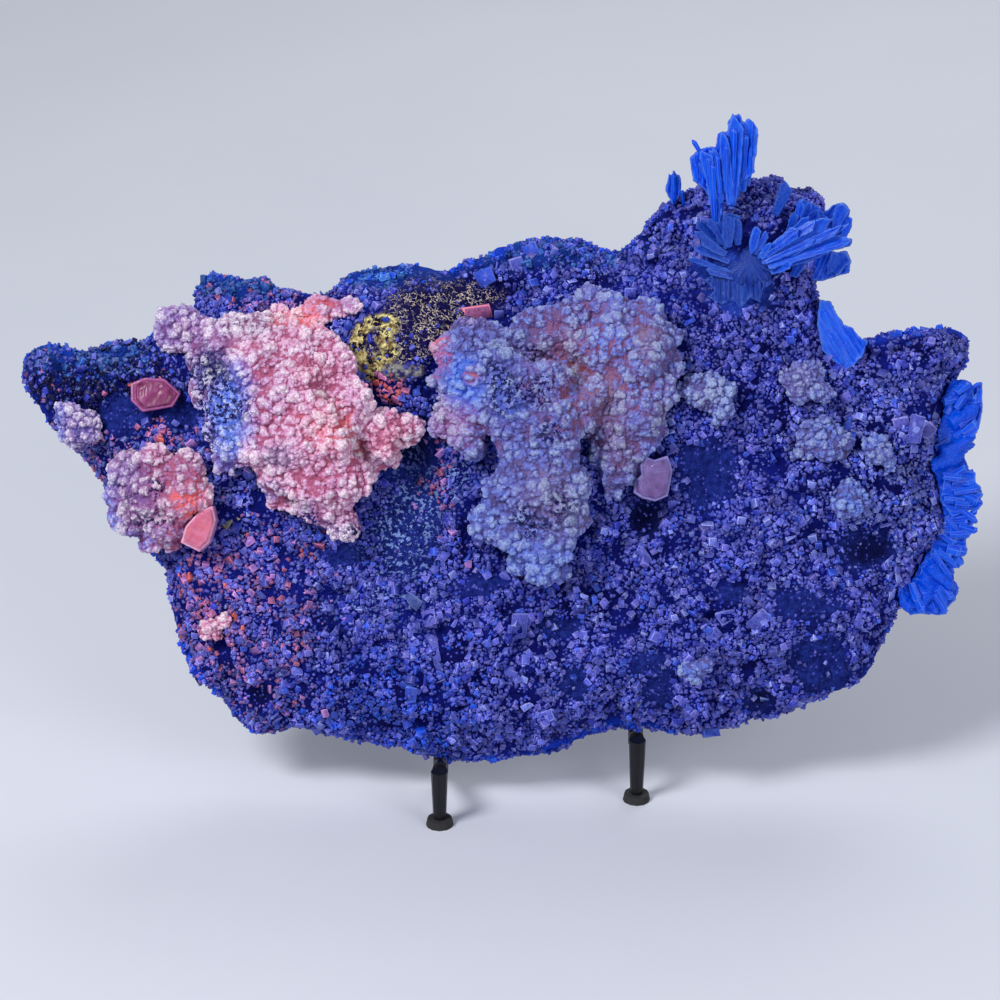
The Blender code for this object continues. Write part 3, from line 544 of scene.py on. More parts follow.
bump = addNode(tree, "Bump", {"Strength": 0.8, "Distance": 0.0008, "Height": grain["Height"]})
plug(tree, shader.inputs["Normal"], bump.outputs["Normal"])
rockPiece.data.materials.append(rockFinish)
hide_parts("rock_plate")
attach(rockPiece, "root")

rockTree = treeOf(rockPiece)


def faceHeight(u, v):  # of the rock's face at one place, in mm
    start = Vector(fromPlate((u, v, 120)))
    hit = rockTree.ray_cast(start, -outOfFace)
    return 120 - hit[3] / mm if hit[0] is not None else 20.0


def paintSpots(uvw, ground, spots, seed, soft=0.5, ragged=0.6):  # spots are (u, v, ru, rv, color, share)
    colors = np.tile(np.array(ground), (len(uvw), 1))
    for index, (u, v, reachU, reachV, color, share) in enumerate(spots):
        mask = spotMask(uvw, [(u, v, reachU, reachV)], soft, ragged, seed + index)[:, None] * share
        colors = colors * (1 - mask) + np.array(color) * mask
    return colors


# calcite flowers: each node's lobes, swollen into nodules that crowd each other

flowerShape = {
    "large": {"voxel": 0.00128, "cuts": 2, "lobe": 11, "bud": 4.9, "crumb": 1.7},
    "small": {"voxel": 0.0010, "cuts": 2, "lobe": 8, "bud": 4.0, "crumb": 1.5},
}
flowers = {
    "calcite_flower_left": ("flowerLeft", "large", "pink_calcite"),
    "calcite_flower_middle": ("flowerMiddle", "large", "lavender_calcite"),
    "calcite_flower_lower_left": ("flowerLowerLeft", "large", "pink_calcite"),
    "calcite_flower_far_left": ("flowerFarLeft", "small", "pink_calcite"),
    "calcite_flower_small_1": ("flowerRightUpper", "small", "lavender_calcite"),
    "calcite_flower_small_2": ("flowerRightTop", "small", "lavender_calcite"),
    "calcite_flower_small_3": ("flowerRightMiddle", "small", "lavender_calcite"),
    "calcite_flower_small_4": ("flowerRightOuter", "small", "lavender_calcite"),
    "calcite_flower_small_5": ("flowerRightLow", "small", "lavender_calcite"),
    "calcite_flower_small_6": ("flowerBottom", "small", "lavender_calcite"),
    "calcite_flower_small_7": ("flowerLowLeft", "small", "pink_calcite"),
}
shades = {
    "pink": srgb(230, 178, 220), "peach": srgb(234, 158, 184), "lilac": srgb(166, 146, 212),
    "white": srgb(216, 208, 232), "mauve": srgb(156, 138, 202), "plum": srgb(158, 112, 166), "navy": srgb(20, 40, 140), "blue": srgb(70, 116, 226), "hazy": srgb(104, 108, 196),
    "coral": srgb(240, 112, 112), "brick": srgb(178, 92, 130), "rust": srgb(196, 96, 80), "lavender": srgb(104, 116, 206),
    "tan": srgb(136, 112, 152), "umber": srgb(110, 52, 62), "sky": srgb(88, 128, 236), "ice": srgb(150, 178, 248),
    "dusk": srgb(90, 78, 156), "slate": srgb(52, 54, 120), "olive": srgb(140, 132, 84),
    "azure": srgb(56, 112, 230), "rose": srgb(196, 138, 190), "grape": srgb(88, 80, 146),
}
flowerFill = {  # lower lumps that close the gaps between the lobes: u, v, radius
    "flowerMiddle": [
        (8, 168, 6), (14, 169, 7), (20, 168, 7), (26, 164, 7), (31, 160, 6), (40, 148, 7), (42, 141, 7), (41, 134, 6),
        (40, 128, 5), (53, 129, 6), (47, 125, 6), (52, 120, 5), (34, 138, 6),
    ],
    "flowerLeft": [(-54, 128, 5), (-57.5, 129, 5.5)],
}
# crevices: the colour of the low places between the buds, partly the flower's own warmer tones and partly painted
# shade
crevices = {
    "flowerLeft": ("brick", [
        (-108, 142, 10, 20, "blue", 0.9), (-97, 178, 12, 6, "tan", 0.6), (-78, 181, 10, 6, "coral", 0.9),
        (-66, 134, 10, 10, "coral", 0.5), (-102, 112, 7, 7, "dusk", 0.9), (-128, 178, 18, 12, "dusk", 0.7),
        (-86, 125, 6, 5, "tan", 0.9), (-62, 96, 10, 6, "dusk", 0.7), (-115, 160, 7, 8, "slate", 0.9),
    ]),
    "flowerMiddle": ("grape", [
        (38, 158, 28, 26, "rust", 0.35), (-15, 138, 12, 12, "brick", 0.5), (30, 104, 10, 16, "tan", 0.5),
        (-15, 154, 7, 11, "azure", 0.8), (-11, 156, 3, 3, "rust", 0.9), (31, 160, 7, 7, "umber", 0.95),
        (42, 142, 6, 10, "umber", 0.5), (49, 124, 7, 6, "umber", 0.5),
        (-25, 168, 5, 9, "coral", 0.8), (58, 168, 6, 9, "tan", 0.8), (40, 150, 8, 7, "tan", 0.6),
        (16, 84, 20, 9, "hazy", 0.7), (20, 112, 12, 10, "tan", 0.5), (2, 150, 10, 9, "azure", 0.5),
    ]),
    "flowerLowerLeft": ("brick", [(-150, 108, 12, 22, "dusk", 0.7), (-120, 108, 8, 8, "coral", 0.9)]),
    "flowerFarLeft": ("dusk", []),
    "flowerLowLeft": ("brick", []),
}
flowerTints = {
    "flowerLeft": [
        (-128, 178, 20, 13, "mauve", 0.95), (-123, 176, 7, 4, "peach", 0.3), (-97, 178, 13, 5, "white", 0.9),
        (-78, 181, 8, 4, "peach", 0.8), (-64, 186, 12, 4, "lilac", 0.7), (-62, 174, 5, 5, "rose", 0.8),
        (-84, 164, 14, 8, "white", 0.3), (-92, 150, 8, 14, "lilac", 0.35), (-68, 135, 7, 9, "peach", 0.8),
        (-88, 124, 5, 3, "tan", 0.5), (-72, 158, 8, 6, "peach", 0.5),
        (-54, 128, 3.5, 4, "umber", 0.85), (-44, 132, 8, 7, "peach", 0.8), (-33, 130, 4, 8, "white", 0.7),
        (-60, 134, 4, 4, "white", 0.8), (-62, 112, 10, 8, "rose", 0.6), (-62, 94, 9, 5, "white", 0.6),
        (-75, 102, 5, 5, "hazy", 0.6), (-113, 140, 11, 20, "ice", 0.6), (-105, 142, 8, 17, "ice", 0.9), (-105, 142, 6, 14, "sky", 0.4),
        (-108, 126, 6, 8, "sky", 0.7), (-103, 113, 7, 7, "hazy", 0.9), (-91, 111, 5, 4, "hazy", 0.8),
        (-116, 158, 8, 9, "hazy", 0.8), (-114, 160, 6, 6, "navy", 0.5), (-113, 160, 3, 3, "olive", 0.5), (-70, 149, 2.5, 2, "umber", 0.7),
    ],
    "flowerMiddle": [
        (-27, 169, 3, 8, "coral", 0.5), (-12, 181, 6, 4, "rose", 0.7), (-20, 138, 8, 9, "rose", 0.55),
        (20, 168, 10, 6, "tan", 0.5), (42, 142, 7, 11, "tan", 0.7), (48, 126, 8, 7, "tan", 0.5),
        (-25, 146, 4, 8, "white", 0.3), (-16, 155, 5, 9, "azure", 0.6), (-10, 150, 3, 6, "sky", 0.8),
        (28, 171, 7, 7, "tan", 0.5), (30, 160, 4, 6, "umber", 0.6), (42, 172, 10, 7, "sky", 0.25),
        (44, 172, 6, 5, "sky", 0.5), (36, 155, 5, 4, "white", 0.25), (58, 170, 4, 8, "tan", 0.5),
        (40, 141, 6, 7, "dusk", 0.5), (62, 141, 5, 5, "dusk", 0.7), (8, 150, 10, 9, "dusk", 0.3),
        (16, 84, 22, 9, "sky", 0.5), (-8, 106, 8, 10, "sky", 0.35), (20, 110, 10, 8, "tan", 0.35),
        (27, 98, 8, 8, "tan", 0.2), (-6, 130, 7, 5, "dusk", 0.4), (58, 186, 14, 8, "sky", 0.3),
    ],
    "flowerLowerLeft": [
        (-135, 110, 28, 22, "plum", 0.95), (-128, 104, 12, 12, "rose", 0.45), (-150, 122, 10, 7, "mauve", 0.7),
        (-142, 92, 16, 6, "mauve", 0.8), (-156, 104, 5, 12, "sky", 0.8), (-148, 92, 8, 3, "azure", 0.7),
    ],
    "flowerFarLeft": [(-170, 137, 18, 18, "mauve", 0.95), (-178, 140, 5, 12, "sky", 0.7), (-166, 138, 6, 6, "plum", 0.5)],
    "flowerRightUpper": [(80, 150, 12, 12, "ice", 0.3), (80, 150, 7, 5, "tan", 0.3)],
    "flowerRightTop": [(118, 156, 7, 6, "tan", 0.3)],
    "flowerRightMiddle": [(136, 130, 12, 12, "sky", 0.4), (136, 130, 4, 5, "dusk", 0.4)],
    "flowerRightOuter": [(150, 126, 12, 12, "sky", 0.4), (150, 126, 4, 4, "dusk", 0.4)],
    "flowerRightLow": [(139, 109, 9, 9, "sky", 0.7)],
    "flowerBottom": [(78, 41, 9, 9, "sky", 0.5)],
    "flowerLowLeft": [(-113, 57, 8, 8, "peach", 0.4)],
}
speckled = [
    (-116, 160, 8, 8), (-110, 143, 11, 17), (-2, 158, 5, 9), (6, 150, 9, 6), (15, 151, 7, 6), (1, 146, 6, 6), (12, 166, 4, 3),
    (20, 134, 7, 5), (24, 106, 8, 7), (9, 101, 5, 4), (14, 96, 6, 3), (-58, 96, 8, 4), (-76, 100, 5, 5), (-140, 100, 10, 4),
    (-146, 109, 3, 3), (-135, 113, 3, 3),
]


def growFlower(nodeName, name, sizes, seed):
    lumps = [copyNode(nodeName, name)]
    for u, v, radius in flowerFill.get(name, []):
        middle = fromPlate((u, v, faceHeight(u, v) + 2))
        bpy.ops.mesh.primitive_ico_sphere_add(subdivisions=3, radius=radius * mm, location=middle)
        lumps.append(bpy.context.object)
    piece = joinPieces(lumps)
    applyModifier(piece, "REMESH", mode="VOXEL", voxel_size=sizes["voxel"])
    applyModifier(piece, "SMOOTH", factor=0.5, iterations=3)
    points, normals = readPoints(piece), readNormals(piece)
    outer = np.clip(normals @ plateAxes[2] + 0.6, 0, 1)
    near, second, _ = cellField(toPlate(points), sizes["lobe"], seed)
    lift = np.maximum(1.8 - 4.2 * np.clip(near, 0, 1) ** 1.6, -1.4) * outer - 0.3
    writePoints(piece, points + normals * lift[:, None] * mm)
    for polygon in piece.data.polygons:
        polygon.select = polygon.normal.dot(outOfFace) > -0.2
    pickOnly(piece)
    bpy.ops.object.mode_set(mode="EDIT")
    bpy.ops.mesh.subdivide(number_cuts=sizes["cuts"])
    bpy.ops.object.mode_set(mode="OBJECT")
    points, normals = readPoints(piece), readNormals(piece)
    uvw = toPlate(points)
    valley = np.clip(cellField(uvw, sizes["lobe"], seed)[0] * 1.7 - 0.45, 0, 1)
    bent = uvw + np.stack([roughNoise(uvw, 4.0, seed + axis, 3) for axis in (31, 32, 33)], axis=1) * 1.3
    near, second, tone = cellField(bent, sizes["bud"], seed + 1)
    bud = np.clip((second - near) * 2.2, 0, 1) ** 0.8 * (0.75 + 0.5 * tone) - 0.3 * near
    outer = np.clip(normals @ plateAxes[2] * 1.5 + 0.7, 0, 1)
    lift = sizes["bud"] * 0.29 * (bud - 0.35) * outer
    writePoints(piece, points + normals * lift[:, None] * mm)
    points, normals = readPoints(piece), readNormals(piece)
    bent = uvw + np.stack([roughNoise(uvw, 1.8, seed + axis, 2) for axis in (41, 42, 43)], axis=1) * 0.7
    near, second, crumbTone = cellField(bent, sizes["crumb"], seed + 2)
    crumb = np.clip(1.0 - near * near * 1.1, 0, 1) * (0.5 + 0.8 * crumbTone) * np.clip((second - near) * 3 + 0.5, 0, 1)
    lift = (sizes["crumb"] * 0.6 * (crumb - 0.35) + roughNoise(uvw, 1.1, seed + 50, 2) * 0.2) * outer
    writePoints(piece, points + normals * lift[:, None] * mm)
    tip = np.clip(bud * 0.7 + crumb * 0.55 - 0.08, 0, 1)
    for mask, values in {"tip": tip, "valley": valley, "tone": tone * 0.6 + crumbTone * 0.4,
                         "speckled": spotMask(uvw, speckled, 0.5, 0.8)}.items():
        storeValue(piece, mask, values)
    pink = flowers[nodeName][2] == "pink_calcite"
    spots = [(*spot[:4], shades[spot[4]], spot[5]) for spot in flowerTints[name]]
    tints = paintSpots(uvw, shades["pink" if pink else "lavender"], spots, seed)
    storeColor(piece, "tint", tints)
    # painted highlight: a paler tint for the raised tips of the buds
    storeColor(piece, "tipHighlightTint", tints + (np.array((1, 0.93, 1) if pink else (0.8, 1, 1)) - tints) * (0.62 if pink else 0.26))
    # painted shade, with the flower's own crevice tones: the colour of the low places
    deep, deepSpots = crevices.get(name, ("grape", []))
    deepSpots = [(*spot[:4], shades[spot[4]], spot[5]) for spot in deepSpots]
    storeColor(piece, "creviceColorAndShade", paintSpots(uvw, shades[deep], deepSpots, seed + 60))
    pickOnly(piece)
    bpy.ops.object.shade_smooth()
    return piece


calciteFinish, tree, shader, place = newFinish("flowerCalcite", {
    "Specular IOR Level": 0.3, "Sheen Weight": 0.15, "Sheen Roughness": 0.4,
    "Subsurface Weight": 0.08, "Subsurface Radius": (1.0, 0.6, 0.8), "Subsurface Scale": 0.001,
})
grain = useGroup(tree, grainGroup, {"Grains per metre": 1000.0, "Bright share": 0.3})
drift = noiseOf(tree, place, 70.0, 5.0)
fine = noiseOf(tree, place, 900.0, 3.0)
tint, deep = readTint(tree), readTint(tree, "creviceColorAndShade")
# the height below picks the colour: low places take the crevice colour as painted shade
height = doMath(tree, "ADD", readMask(tree, "tip"),
                doMath(tree, "MULTIPLY", doMath(tree, "SUBTRACT", drift, 0.5), 0.7))
height = doMath(tree, "ADD", height, doMath(tree, "MULTIPLY", doMath(tree, "SUBTRACT", readMask(tree, "tone"), 0.5), 0.25))
height = doMath(tree, "ADD", height, doMath(tree, "MULTIPLY", doMath(tree, "SUBTRACT", fine, 0.5), 0.5))
# lobe valleys sink the height, which darkens them as painted shade
height = doMath(tree, "SUBTRACT", height, doMath(tree, "MULTIPLY", readMask(tree, "valley"), 0.4))
color = mixColors(tree, remap(tree, height, -0.05, 0.27), deep, tint)
# painted highlight: the highest places take the paler tint
color = mixColors(tree, remap(tree, height, 0.32, 0.8), color, readTint(tree, "tipHighlightTint"))
# painted shade in the fine gaps between grains
color = mixColors(tree, remap(tree, grain["Height"], 0.95, 0.68, 0.0, 0.45), color, deep)
specks = remap(tree, noiseOf(tree, place, 560.0, 2.0), 0.51, 0.545)
color = mixColors(tree, doMath(tree, "MULTIPLY", readMask(tree, "speckled"), specks), color, srgb(2, 8, 92))
plug(tree, shader.inputs["Base Color"], color)
plug(tree, shader.inputs["Roughness"], remap(tree, drift, 0.3, 0.7, 0.4, 0.65))
bump = addNode(tree, "Bump", {"Strength": 0.7, "Distance": 0.0007, "Height": grain["Height"]})
plug(tree, shader.inputs["Normal"], bump.outputs["Normal"])

for seed, (nodeName, (name, sizes, slot)) in enumerate(flowers.items()):
    piece = growFlower(nodeName, name, flowerShape[sizes], 100 + seed * 10)
    piece.data.materials.append(calciteFinish)
    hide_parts(nodeName)
    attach(piece, "root")
    print(name, sum(len(polygon.vertices) - 2 for polygon in piece.data.polygons))

# small crystals, each modelled once for all of its copies

def modelRhomb(name, shape, worn, uneven, seed):
    bpy.ops.object.select_all(action="DESELECT")
    bpy.ops.mesh.primitive_cube_add(size=1)
    rhomb = bpy.context.object
    rhomb.name = name
    for polygon in rhomb.data.polygons:
        polygon.select = polygon.normal.z > 0.9
    bpy.ops.object.mode_set(mode="EDIT")
    bpy.ops.transform.translate(value=(0.27, 0.18, -0.16))
    bpy.ops.mesh.select_all(action="SELECT")
    bpy.ops.transform.resize(value=shape)
    bpy.ops.transform.vertex_random(offset=uneven, uniform=1.0, normal=0.0, seed=seed)
    if worn:
        bpy.ops.mesh.bevel(offset=worn, segments=1, affect="EDGES")
    bpy.ops.object.mode_set(mode="OBJECT")
    areas = np.array([polygon.area for polygon in rhomb.data.polygons])
    flats = np.sort(areas)[-6:][0]
    # edge marks the bevel faces, which the druse finish paints lighter as a painted highlight
    edge = rhomb.data.attributes.new("edge", "FLOAT", "FACE")
    edge.data.foreach_set("value", (areas < flats * 0.99).astype(np.float32))
    return rhomb


crystalKinds = {
    "plate": [modelRhomb(f"plate{seed}", (1, 0.72, 0.24), 0.045, 0.17, seed) for seed in range(3)],
    "rhomb": [modelRhomb(f"rhomb{seed}", (1, 0.88, 0.62), 0.055, 0.15, seed + 5) for seed in range(4)],
    "speck": [modelRhomb(f"speck{seed}", (1, 0.85, 0.6), 0, 0.18, seed + 20) for seed in range(3)],
}

# loose rhombs of the druse

coverTree = treeOf(joinPieces([copyNode(name, "cover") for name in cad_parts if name.startswith(("calcite", "quartz"))]))
dropPiece(bpy.data.objects["cover"])

druse = {
    "passes": [  # kind, size of a crystal in mm from and to, tries per 100 mm2, room between them, lean
        ("plate", 2.8, 5.0, 1.2, 0.38, 0.45), ("rhomb", 1.6, 3.3, 22.0, 0.31, 0.5), ("speck", 0.8, 1.9, 150.0, 0.29, 0.8),
    ],
    "clump": 6.5,
    "bare": rock["slate"] + rock["pits"] + rock["fan"] + rock["ledge"] + [
        (-47, 170, 14, 15), (-26, 179, 26, 17), (-12, 189, 17, 9), (-28, 199, 10, 4)],
    "plates": [  # u, v, width, height, turn in degrees, color
        (-29, 60, 6.5, 5.6, 20, "violet"), (-23, 62, 5, 3, -30, "violet"), (-17, 66, 4.5, 3.5, 40, "lavender"),
        (-14, 82, 4.6, 2.8, 0, "pink"), (-7, 79, 4.6, 3, 15, "lavender"), (-37, 69, 8.5, 6, -35, "grey"),
        (6, 56, 8, 10, -6, "lavender"), (20, 45, 3.6, 4.6, 30, "lavender"), (2, 39, 6.5, 5, -20, "lavender"),
        (-26, 46, 4, 7.5, 10, "lavender"), (-37, 29, 5, 8, -8, "blue"), (-32, 7, 9, 3.6, 10, "lavender"),
        (-38, 20, 5, 9, 5, "blue"), (17, 20, 7, 6, 25, "lavender"), (21, 25, 3.6, 7, -25, "lavender"),
        (14, 26, 3.6, 6, 20, "violet"), (88, 60, 8.5, 6, 12, "lavender"), (83, 53, 7, 6, 45, "lavender"),
        (103, 57, 11, 7, 45, "lavender"), (85, 79, 5, 7, -10, "violet"), (47, 65, 5, 3, 5, "tan"),
        (48, 29, 4, 10, -4, "violet"), (44, 31, 3.5, 8, 12, "lavender"), (83, 14, 7, 4.4, 8, "blue"),
        (75, 23, 8, 6, -15, "lavender"), (88, 26, 9, 8, 30, "lavender"), (105, 29, 4, 8, 20, "grey"),
        (-7, 195, 9, 6, 25, "blue"), (-1, 199, 5, 9, -15, "lavender"), (6, 200, 6, 9, 20, "lavender"),
        (12, 206, 7, 5, 30, "blue"), (20, 204, 5, 8, -30, "lavender"), (158, 136, 7, 9, 20, "violet"),
        (163, 134, 7, 10, -15, "lavender"), (168, 135, 5, 8, -40, "violet"), (-12, 181, 12, 7, 10, "rose"),
        (40, 118, 4, 7, 20, "lavender"), (36, 103, 3, 12, -28, "blue"), (28, 74, 5, 5, 15, "lavender"),
        (57, 84, 5, 6, 40, "lavender"), (152, 98, 7, 5, 5, "lavender"), (140, 60, 6, 5, -20, "lavender"),
        (118, 98, 6, 4, 30, "lavender"), (-104, 101, 5, 4, 15, "olive"), (-110, 99, 4, 6, -20, "olive"),
        (-147.5, 155, 4, 5, -15, "coral"), (-69, 76, 6, 4, -20, "rose"), (-76, 70, 5, 4, 35, "pink"),
        (-115, 58, 6, 5, 20, "pink"), (-92, 50, 5, 4, 0, "pink"), (-58, 57, 5, 5, 30, "violet"),
    ],
}
grains = {
    "lavender": srgb(96, 104, 214), "violet": srgb(112, 112, 218), "blue": srgb(64, 92, 222),
    "deep": srgb(52, 62, 186), "grey": srgb(86, 106, 186), "pale": srgb(130, 142, 238),
    "pink": srgb(172, 124, 206), "rose": srgb(184, 108, 160), "coral": srgb(226, 108, 116),
    "teal": srgb(50, 96, 190), "electric": srgb(30, 86, 240), "cyan": srgb(72, 130, 236),
    "tan": srgb(150, 130, 170), "olive": srgb(128, 128, 120), "night": srgb(10, 10, 74),
}
grainMix = {"lavender": 0.56, "violet": 0.16, "blue": 0.08, "deep": 0.12, "pale": 0.08}
grainZones = [  # u, v, reach u, reach v, share of the grains there, and their mix
    (-104, 60, 32, 40, 0.6, {"pink": 0.4, "violet": 0.45, "rose": 0.13, "coral": 0.02}),
    (-150, 128, 40, 22, 0.6, {"pink": 0.3, "grey": 0.3, "rose": 0.2, "violet": 0.2}),
    (-158, 152, 30, 16, 0.95, {"night": 0.78, "deep": 0.1, "grey": 0.08, "rose": 0.04}),
    (-165, 166, 30, 8, 0.7, {"grey": 0.5, "teal": 0.3, "lavender": 0.2}),
    (-133, 134, 6, 7, 0.6, {"coral": 0.35, "rose": 0.65}),
    (-108, 74, 20, 9, 0.4, {"rose": 0.6, "coral": 0.06, "pink": 0.34}),
    (158, 118, 28, 38, 0.75, {"pale": 0.6, "blue": 0.2, "lavender": 0.2}),
    (-112, 58, 9, 7, 0.7, {"pink": 0.6, "rose": 0.3, "coral": 0.1}),
    (-44, 152, 9, 8, 0.95, {"rose": 0.5, "pink": 0.2, "coral": 0.3}),
    (-26, 112, 7, 16, 0.9, {"rose": 0.45, "pink": 0.5, "coral": 0.05}),
    (-80, 186, 24, 5, 0.7, {"rose": 0.3, "pink": 0.4, "violet": 0.3}),
    (-106, 195, 22, 6, 0.9, {"teal": 0.5, "grey": 0.25, "cyan": 0.15, "rose": 0.1}),
    (-50, 199, 15, 6, 0.95, {"cyan": 0.4, "electric": 0.2, "teal": 0.4}),
    (12, 207, 38, 7, 0.6, {"teal": 0.5, "blue": 0.3, "grey": 0.2}),
    (-42, 28, 28, 20, 0.75, {"blue": 0.6, "electric": 0.12, "lavender": 0.28}),
]


def pickGrains(uvw, random):
    names = list(grains)
    palette = np.array([grains[name] for name in names])

    def drawFrom(mixture):
        weights = np.array(list(mixture.values()))
        chosen = random.choice(len(weights), len(uvw), p=weights / weights.sum())
        return np.array([names.index(name) for name in mixture])[chosen]

    picked = drawFrom(grainMix)
    for index, (u, v, reachU, reachV, share, mixture) in enumerate(grainZones):
        mask = spotMask(uvw, [(u, v, reachU, reachV)], 0.4, 0.5, 70 + index) * share
        picked = np.where(random.random(len(uvw)) < mask, drawFrom(mixture), picked)
    # painted rim light: grains near the outline turn electric blue
    paintedRimLight = np.clip(1.1 - rimDistance(uvw) / 1.8, 0, 1) * 0.6
    picked = np.where(random.random(len(uvw)) < paintedRimLight, names.index("electric"), picked)
    # grains on top of a clump are painted lighter and those between clumps darker, as painted light and shade, with a
    # random tone on top
    return palette[picked] * (random.uniform(0.8, 1.15, len(uvw)) * (0.6 + 0.5 * moundsAt(uvw)))[:, None]


def scatterDruse(seed):
    random = np.random.default_rng(seed)
    taken, found = {}, {}
    area = sum(polygon.area for polygon in rockPiece.data.polygons) / mm**2
    for kind, smallest, largest, tries, room, _ in druse["passes"]:
        places, ways = samplePoints(rockPiece, int(area / 100 * tries), random)
        uvw = toPlate(places)
        size = smallest + (largest - smallest) * random.random(len(places)) ** 1.7
        chance = np.clip((ways @ plateAxes[2]) * 1.3 + 0.4, 0.03, 1)
        chance *= 1 - 0.98 * spotMask(uvw, druse["bare"], 0.2, 0.25)
        clump = roughNoise(uvw, druse["clump"], 77, 2) + 0.7 * moundsAt(uvw)
        chance *= np.clip(clump * 2.2 + 0.35, 0.06, 1)
        chance *= np.where((size > 2.2) & (rimDistance(uvw) < 3), 0.15, 1)
        keep = random.random(len(places)) < chance
        places, ways, size = places[keep], ways[keep], size[keep]
        for index in thinOut(places, size * room * mm, taken):
            hit = coverTree.ray_cast(Vector(places[index]) - outOfFace * 0.001, outOfFace, 0.04)
            if hit[0] is None or hit[3] > 0.005:
                found.setdefault(kind, []).append((*places[index], *ways[index], size[index]))
    return {kind: np.array(rows) for kind, rows in found.items()}


druseFinish, tree, shader, place = newFinish("druseCalcite", {"Specular IOR Level": 0.25})
mottle = noiseOf(tree, place, 800.0, 3.0)
tint = readTint(tree)
color = mixColors(tree, doMath(tree, "MULTIPLY", remap(tree, mottle, 0.48, 0.62), 0.55), tint,
                  mixColors(tree, 1.0, tint, srgb(120, 124, 176), "MULTIPLY"))
# painted highlight along the bevelled crystal edges
color = mixColors(tree, doMath(tree, "MULTIPLY", readMask(tree, "edge"), 0.9), color,
                  mixColors(tree, 1.0, tint, (2.6, 2.4, 1.4), "MULTIPLY"))
plug(tree, shader.inputs["Base Color"], color)
plug(tree, shader.inputs["Roughness"], remap(tree, mottle, 0.3, 0.7, 0.25, 0.55))
bump = addNode(tree, "Bump", {"Strength": 0.3, "Distance": 0.0003, "Height": mottle})
plug(tree, shader.inputs["Normal"], bump.outputs["Normal"])


def dressDruse(piece):
    piece.data.materials.append(druseFinish)
    writePoints(piece, readPoints(piece))
    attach(piece, "root")


random = np.random.default_rng(8)
leans = {kind: lean for kind, _, _, _, _, lean in druse["passes"]}
for kind, rows in scatterDruse(5).items():
    places, ways, size = rows[:, :3], rows[:, 3:6], rows[:, 6]
    uvw = toPlate(places)
    turns = leanTurns(ways, random, leans[kind]) * (size * mm)[:, None, None]
    places = places + ways * (size * 0.1 * mm)[:, None]
    tints = pickGrains(uvw, random)
    total = 0
    for index, template in enumerate(crystalKinds[kind]):
        chosen = np.arange(len(places)) % len(crystalKinds[kind]) == index
        piece = copyMany(f"druse{kind.title()}{index + 1}", template, turns[chosen], places[chosen], tints[chosen])
        dressDruse(piece)
        total += sum(len(polygon.vertices) - 2 for polygon in piece.data.polygons)
    print("druse", kind, len(places), total)

# larger plates, each at its own place on the face
turns, places, tints = [], [], []
for u, v, width, height, turn, color in druse["plates"]:
    upright = np.array(outOfFace) + fromPlate((random.normal(0, 160), random.normal(0, 160), 0)) - plateFoot
    frameTurn = np.array(Vector(upright).normalized().to_track_quat("Z", "Y").to_matrix() @ Matrix.Rotation(math.radians(turn), 3, "Z"))
    turns.append(frameTurn * [width * 0.9 * mm, height / 0.8 * mm, 5.5 * mm])
    places.append(fromPlate((u, v, faceHeight(u, v) + 0.3)))
    tints.append(np.array(grains[color]) * random.uniform(0.65, 0.9))
for index, template in enumerate(crystalKinds["plate"]):
    piece = copyMany(f"facePlates{index + 1}", template, np.array(turns[index::3]), np.array(places[index::3]), np.array(tints[index::3]))
    dressDruse(piece)

# quartz prisms, modelled once each with a pointed, a chisel and a blunt end

def raiseTop(piece, steps):  # extrudes the highest face, then shifts and narrows it, at each step
    for climb, aside, shareX, shareY in steps:
        pickOnly(piece)
        bpy.ops.object.mode_set(mode="EDIT")
        bpy.ops.mesh.select_all(action="DESELECT")
        bpy.ops.object.mode_set(mode="OBJECT")
        top = max(polygon.center.z for polygon in piece.data.polygons)
        for polygon in piece.data.polygons:
            polygon.select = polygon.center.z > top - 0.001
        bpy.ops.object.mode_set(mode="EDIT")
        bpy.ops.mesh.extrude_region_move(TRANSFORM_OT_translate={"value": (aside, 0, climb)})
        bpy.ops.transform.resize(value=(shareX, shareY, 1))
        bpy.ops.object.mode_set(mode="OBJECT")


def modelPrism(name, steps):
    bpy.ops.object.select_all(action="DESELECT")
    bpy.ops.mesh.primitive_cylinder_add(vertices=6, radius=1, depth=1, location=(0, 0, 0.5))
    bpy.ops.object.transform_apply(location=True, rotation=False, scale=False)
    prism = bpy.context.object
    prism.name = name
    raiseTop(prism, steps)
    bpy.ops.object.mode_set(mode="EDIT")
    bpy.ops.mesh.select_all(action="SELECT")
    bpy.ops.mesh.bevel(offset=0.09, segments=1, affect="EDGES")
    bpy.ops.mesh.remove_doubles(threshold=0.01)
    bpy.ops.object.mode_set(mode="OBJECT")
    # edge marks the narrow bevel faces, painted lighter in the quartz finish as a painted highlight
    narrow = np.array([polygon.area for polygon in prism.data.polygons]) < 0.14
    prism.data.attributes.new("edge", "FLOAT", "FACE").data.foreach_set("value", narrow.astype(np.float32))
    return prism


prismKinds = {
    "pointed": modelPrism("pointedPrism", [(0.4, 0.05, 0.8, 0.8), (0.9, 0.1, 0.2, 0.3)]),
    "chisel": modelPrism("chiselPrism", [(0.4, -0.15, 0.85, 0.7), (0.6, 0.3, 0.4, 0.36)]),
    "blunt": modelPrism("bluntPrism", [(0.3, 0.1, 0.92, 0.66), (0.35, 0.18, 0.74, 0.34)]),
}


def onSight(uvw):  # the place at this height that the camera sees at (u, v)
    uvw, aim = np.array(uvw, float), np.array([aimU, aimV])
    uvw[..., :2] = aim + (uvw[..., :2] - aim) * (1 - (uvw[..., 2:] - aimW) / view["distance"])
    return uvw


